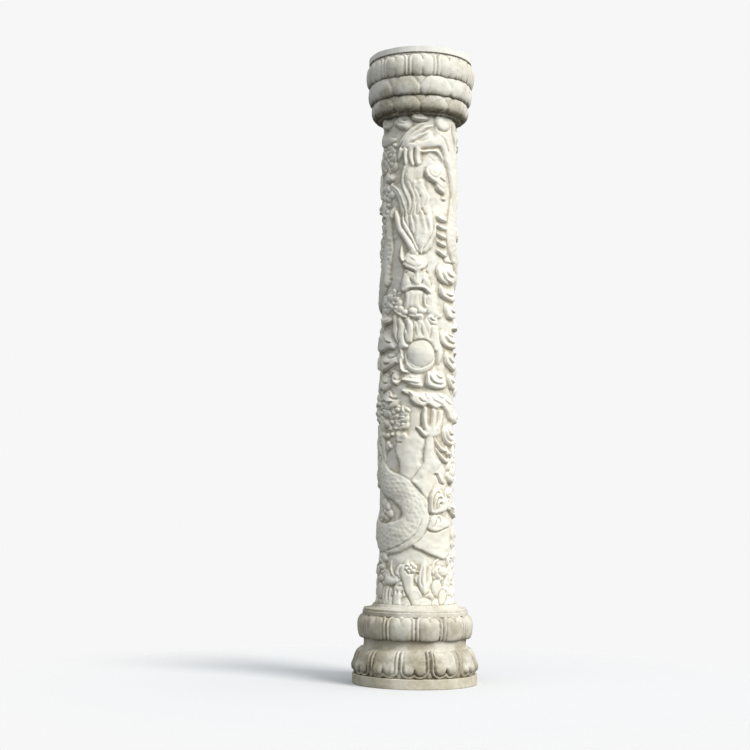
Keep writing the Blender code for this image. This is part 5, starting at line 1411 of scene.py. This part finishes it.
def weathered_marble(name, clean, warm, soil_and_shade, warm_share, stain_from, stain_to):
    """White marble, dressed with the chisel and long outdoors. The raised carving is pale and matt;
    every cut, the corner under each moulding and each underside is painted darker, as painted shade and
    as earth-brown dirt; beige and olive patches spread where water runs, and the skin is finely pitted.
    Stains grow from the height stain_from to stain_to."""
    stone = bpy.data.materials.new(name)
    stone.use_nodes = True
    tree = stone.node_tree
    shader = tree.nodes["Principled BSDF"]
    place = add(tree, "ShaderNodeTexCoord").outputs["Object"]
    height = add(tree, "ShaderNodeSeparateXYZ", links={0: place}).outputs[2]
    hollow_dirt_and_shade = add(tree, "ShaderNodeAttribute", {"attribute_name": "hollow_dirt_and_shade"}).outputs["Fac"]
    # patches about 250 mm across, mottling of about 30 mm and streaks 20 mm wide and 600 mm long
    patches = add(tree, "ShaderNodeTexNoise", inputs={"Scale": 4, "Detail": 4, "Roughness": 0.6},
                  links={"Vector": place}).outputs["Fac"]
    mottle = add(tree, "ShaderNodeTexNoise", inputs={"Scale": 33, "Detail": 5, "Roughness": 0.65},
                 links={"Vector": place}).outputs["Fac"]
    stretched = add(tree, "ShaderNodeMapping", inputs={"Scale": (1, 1, 0.033)}, links={"Vector": place})
    streaks = add(tree, "ShaderNodeTexNoise", inputs={"Scale": 50, "Detail": 3, "Roughness": 0.5},
                  links={"Vector": stretched.outputs[0]}).outputs["Fac"]

    # from the cleanest stone up: a colour, how much of it, and the patterns that it follows, each with
    # the values between which it comes in. The palest is the capital's top slab, from its groove up.
    # Dust lies on the flat top inside it, and the foot slab is a little paler than the petals over it
    damp = (height, stain_from, stain_to)
    layers = (
        (warm, warm_share, ((patches, 0.40, 0.66),)),
        (warm, 0.35, ((mottle, 0.48, 0.75),)),
        ("989079", 0.35, ((streaks, 0.52, 0.75), damp)),
        ("8a7f69", 0.5, ((patches, 0.35, 0.60), damp)),
        ("7f7d55", 0.6, ((mottle, 0.42, 0.70), (patches, 0.40, 0.60), damp)),
        ("f4f2ed", 0.55, ((height, *RIM_HEIGHTS),)),
        ("b0a894", 0.85, ((height, *TOP_HEIGHTS),)),
        ("857c68", 0.6, ((height, *TOP_HEIGHTS), (mottle, 0.45, 0.70))),
        ("dbd2bc", 0.45, ((height, *FOOT_HEIGHTS),)),
        # these last two layers paint the cuts and corners darker by the hollow attribute: painted shade,
        # and dirt
        ("bdb29b", 0.5, ((hollow_dirt_and_shade, 0.56, 0.80), (patches, 0.30, 0.55))),
        (soil_and_shade, 0.8, ((hollow_dirt_and_shade, 0.58, 0.95), (mottle, 0.25, 0.60))))
    below = {}
    for colour, strength, patterns in layers:
        share = add(tree, "ShaderNodeValue").outputs[0]
        share.default_value = strength
        for value, low, high in patterns:
            here = add(tree, "ShaderNodeMapRange", {"interpolation_type": "SMOOTHSTEP"},
                       {"From Min": low, "From Max": high}, {"Value": value}).outputs[0]
            share = add(tree, "ShaderNodeMath", {"operation": "MULTIPLY"},
                        links={0: share, 1: here}).outputs[0]
        over = add(tree, "ShaderNodeMix", {"data_type": "RGBA"}, {6: linear(clean), 7: linear(colour)},
                   {0: share, **below})
        below = {6: over.outputs[2]}
    tree.links.new(below[6], shader.inputs["Base Color"])
    # pits of about 3 mm and chisel marks of about 11 mm
    pits = add(tree, "ShaderNodeTexNoise", inputs={"Scale": 300, "Detail": 3, "Roughness": 0.7},
               links={"Vector": place}).outputs["Fac"]
    marks = add(tree, "ShaderNodeTexNoise", inputs={"Scale": 90, "Detail": 4, "Roughness": 0.6},
                links={"Vector": place}).outputs["Fac"]
    coarse = add(tree, "ShaderNodeBump", inputs={"Strength": 0.5, "Distance": 0.004},
                 links={"Height": marks})
    fine = add(tree, "ShaderNodeBump", inputs={"Strength": 0.4, "Distance": 0.0015},
               links={"Height": pits, "Normal": coarse.outputs[0]})
    tree.links.new(fine.outputs[0], shader.inputs["Normal"])
    tree.links.new(add(tree, "ShaderNodeMapRange", inputs={"To Min": 0.72, "To Max": 0.92},
                       links={"Value": mottle}).outputs[0], shader.inputs["Roughness"])
    shader.inputs["Specular IOR Level"].default_value = 0.35
    shader.inputs["IOR"].default_value = 1.5
    return stone


# The pillar

base = make_base()
shaft = make_shaft()
capital = make_capital()
for piece, node, slot, stone in (
        (base, "lotus_base", "base_stone",
         weathered_marble("base_marble", "d0cbbe", "a39a85", "463e2f", warm_share=0.8,
                          stain_from=0.62, stain_to=-0.1)),
        (shaft, "dragon_shaft", "shaft_stone",
         weathered_marble("shaft_marble", "e8e5da", "dad2c0", "a89e88", warm_share=0.5,
                          stain_from=5.0, stain_to=6.1)),
        (capital, "lotus_capital", "capital_stone",
         weathered_marble("capital_marble", "e3dfd4", "ccc4b0", "544d3b", warm_share=0.55,
                          stain_from=6.0, stain_to=5.3))):
    piece.data.materials.append(stone)
    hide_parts(node)
    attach(piece, "root")

# The stage: a round of pale floor, a soft sun from the front right and a pale sky

FLOOR_RADIUS = 4.5
FLOOR_FADE = 2.6          # the width of the floor's soft edge
FLOOR_SIDES = 96
FLOOR_DROP = 0.001        # keeps the floor just under the foot


def pale_floor(name, shown, lit):
    """Plain matt pale paper that fades out towards its edge. It throws up as little light as a
    floor of the darker colour does, so that the undersides stay in shade."""
    paper = bpy.data.materials.new(name)
    paper.use_nodes = True
    tree = paper.node_tree
    shader = tree.nodes["Principled BSDF"]
    looked_at = add(tree, "ShaderNodeLightPath").outputs["Is Camera Ray"]
    colour = add(tree, "ShaderNodeMix", {"data_type": "RGBA"}, {6: linear(lit), 7: linear(shown)},
                 {0: looked_at}).outputs[2]
    tree.links.new(colour, shader.inputs["Base Color"])
    shader.inputs["Roughness"].default_value = 1
    shader.inputs["Specular IOR Level"].default_value = 0
    place = add(tree, "ShaderNodeTexCoord").outputs["Object"]
    out = add(tree, "ShaderNodeVectorMath", {"operation": "LENGTH"}, links={0: place}).outputs["Value"]
    there = add(tree, "ShaderNodeMapRange", {"interpolation_type": "SMOOTHSTEP"},
                {"From Min": FLOOR_RADIUS, "From Max": FLOOR_RADIUS - FLOOR_FADE},
                {"Value": out}).outputs[0]
    tree.links.new(there, shader.inputs["Alpha"])
    return paper


def make_floor():
    """One flat round face."""
    turns = np.linspace(0, 2 * math.pi, FLOOR_SIDES, endpoint=False)
    spots = np.stack([FLOOR_RADIUS * np.cos(turns), FLOOR_RADIUS * np.sin(turns),
                      0 * turns - FLOOR_DROP], -1)
    mesh = bpy.data.meshes.new("floor")
    mesh.from_pydata(spots.tolist(), [], [list(range(len(spots)))])
    floor = bpy.data.objects.new("floor", mesh)
    mesh.materials.append(pale_floor("floor_paper", shown="dadada", lit="5c5952"))
    bpy.context.scene.collection.objects.link(floor)


SUN_FROM_RIGHT, SUN_UP = 52, 36
SUN_WIDTH = 28
SUN_STRENGTH = 2.95
SUN_COLOUR = (1, 0.985, 0.955)
SKY_COLOUR = (0.91, 0.96, 1, 1)
SKY_SIDE = (0.6, -0.8, 0)           # the side on which the sky is brightest
SKY_STRENGTH = 1.07
GROUND_STRENGTH = 0.12
SHADE_SIDE = 0.51         # how bright the sky is on the left and behind, in shares of the rest
BACKDROP = 0.93


def make_light():
    """The sun stands to the right of the viewer. The sky lights softly from above, most of all on
    the sun's side, and hardly from below, and is plain near-white where it is looked at."""
    sun = bpy.data.objects.new("sun", bpy.data.lights.new("sun", "SUN"))
    sun.data.energy = SUN_STRENGTH
    sun.data.angle = math.radians(SUN_WIDTH)
    sun.data.color = SUN_COLOUR
    turn, up = math.radians(SUN_FROM_RIGHT), math.radians(SUN_UP)
    sun.matrix_world = Matrix.Rotation(turn, 4, "Z") @ Matrix.Rotation(math.pi / 2 - up, 4, "X")
    bpy.context.scene.collection.objects.link(sun)
    world = bpy.data.worlds.new("sky")
    world.use_nodes = True
    bpy.context.scene.world = world
    tree = world.node_tree
    tree.nodes.clear()
    looked_at = add(tree, "ShaderNodeLightPath").outputs["Is Camera Ray"]
    way = add(tree, "ShaderNodeTexCoord").outputs["Generated"]
    up = add(tree, "ShaderNodeSeparateXYZ", links={0: way}).outputs[2]
    lit_side = add(tree, "ShaderNodeVectorMath", {"operation": "DOT_PRODUCT"}, {1: SKY_SIDE},
                   {0: way})
    overhead = add(tree, "ShaderNodeMapRange", {"interpolation_type": "SMOOTHSTEP"},
                   {"From Min": -0.15, "From Max": 0.2, "To Min": GROUND_STRENGTH,
                    "To Max": SKY_STRENGTH},
                   {"Value": up}).outputs[0]
    sideways = add(tree, "ShaderNodeMapRange", {"interpolation_type": "SMOOTHSTEP"},
                   {"From Min": -0.6, "From Max": 0.5, "To Min": SHADE_SIDE, "To Max": 1},
                   {"Value": lit_side.outputs["Value"]}).outputs[0]
    strength = add(tree, "ShaderNodeMath", {"operation": "MULTIPLY"},
                   links={0: overhead, 1: sideways}).outputs[0]
    lighting = add(tree, "ShaderNodeBackground", inputs={"Color": SKY_COLOUR},
                   links={"Strength": strength})
    shown = add(tree, "ShaderNodeBackground", inputs={"Color": (1, 1, 1, 1), "Strength": BACKDROP})
    both = add(tree, "ShaderNodeMixShader",
               links={0: looked_at, 1: lighting.outputs[0], 2: shown.outputs[0]})
    add(tree, "ShaderNodeOutputWorld", links={0: both.outputs[0]})


make_floor()
make_light()
bpy.context.scene.view_settings.view_transform = "Standard"
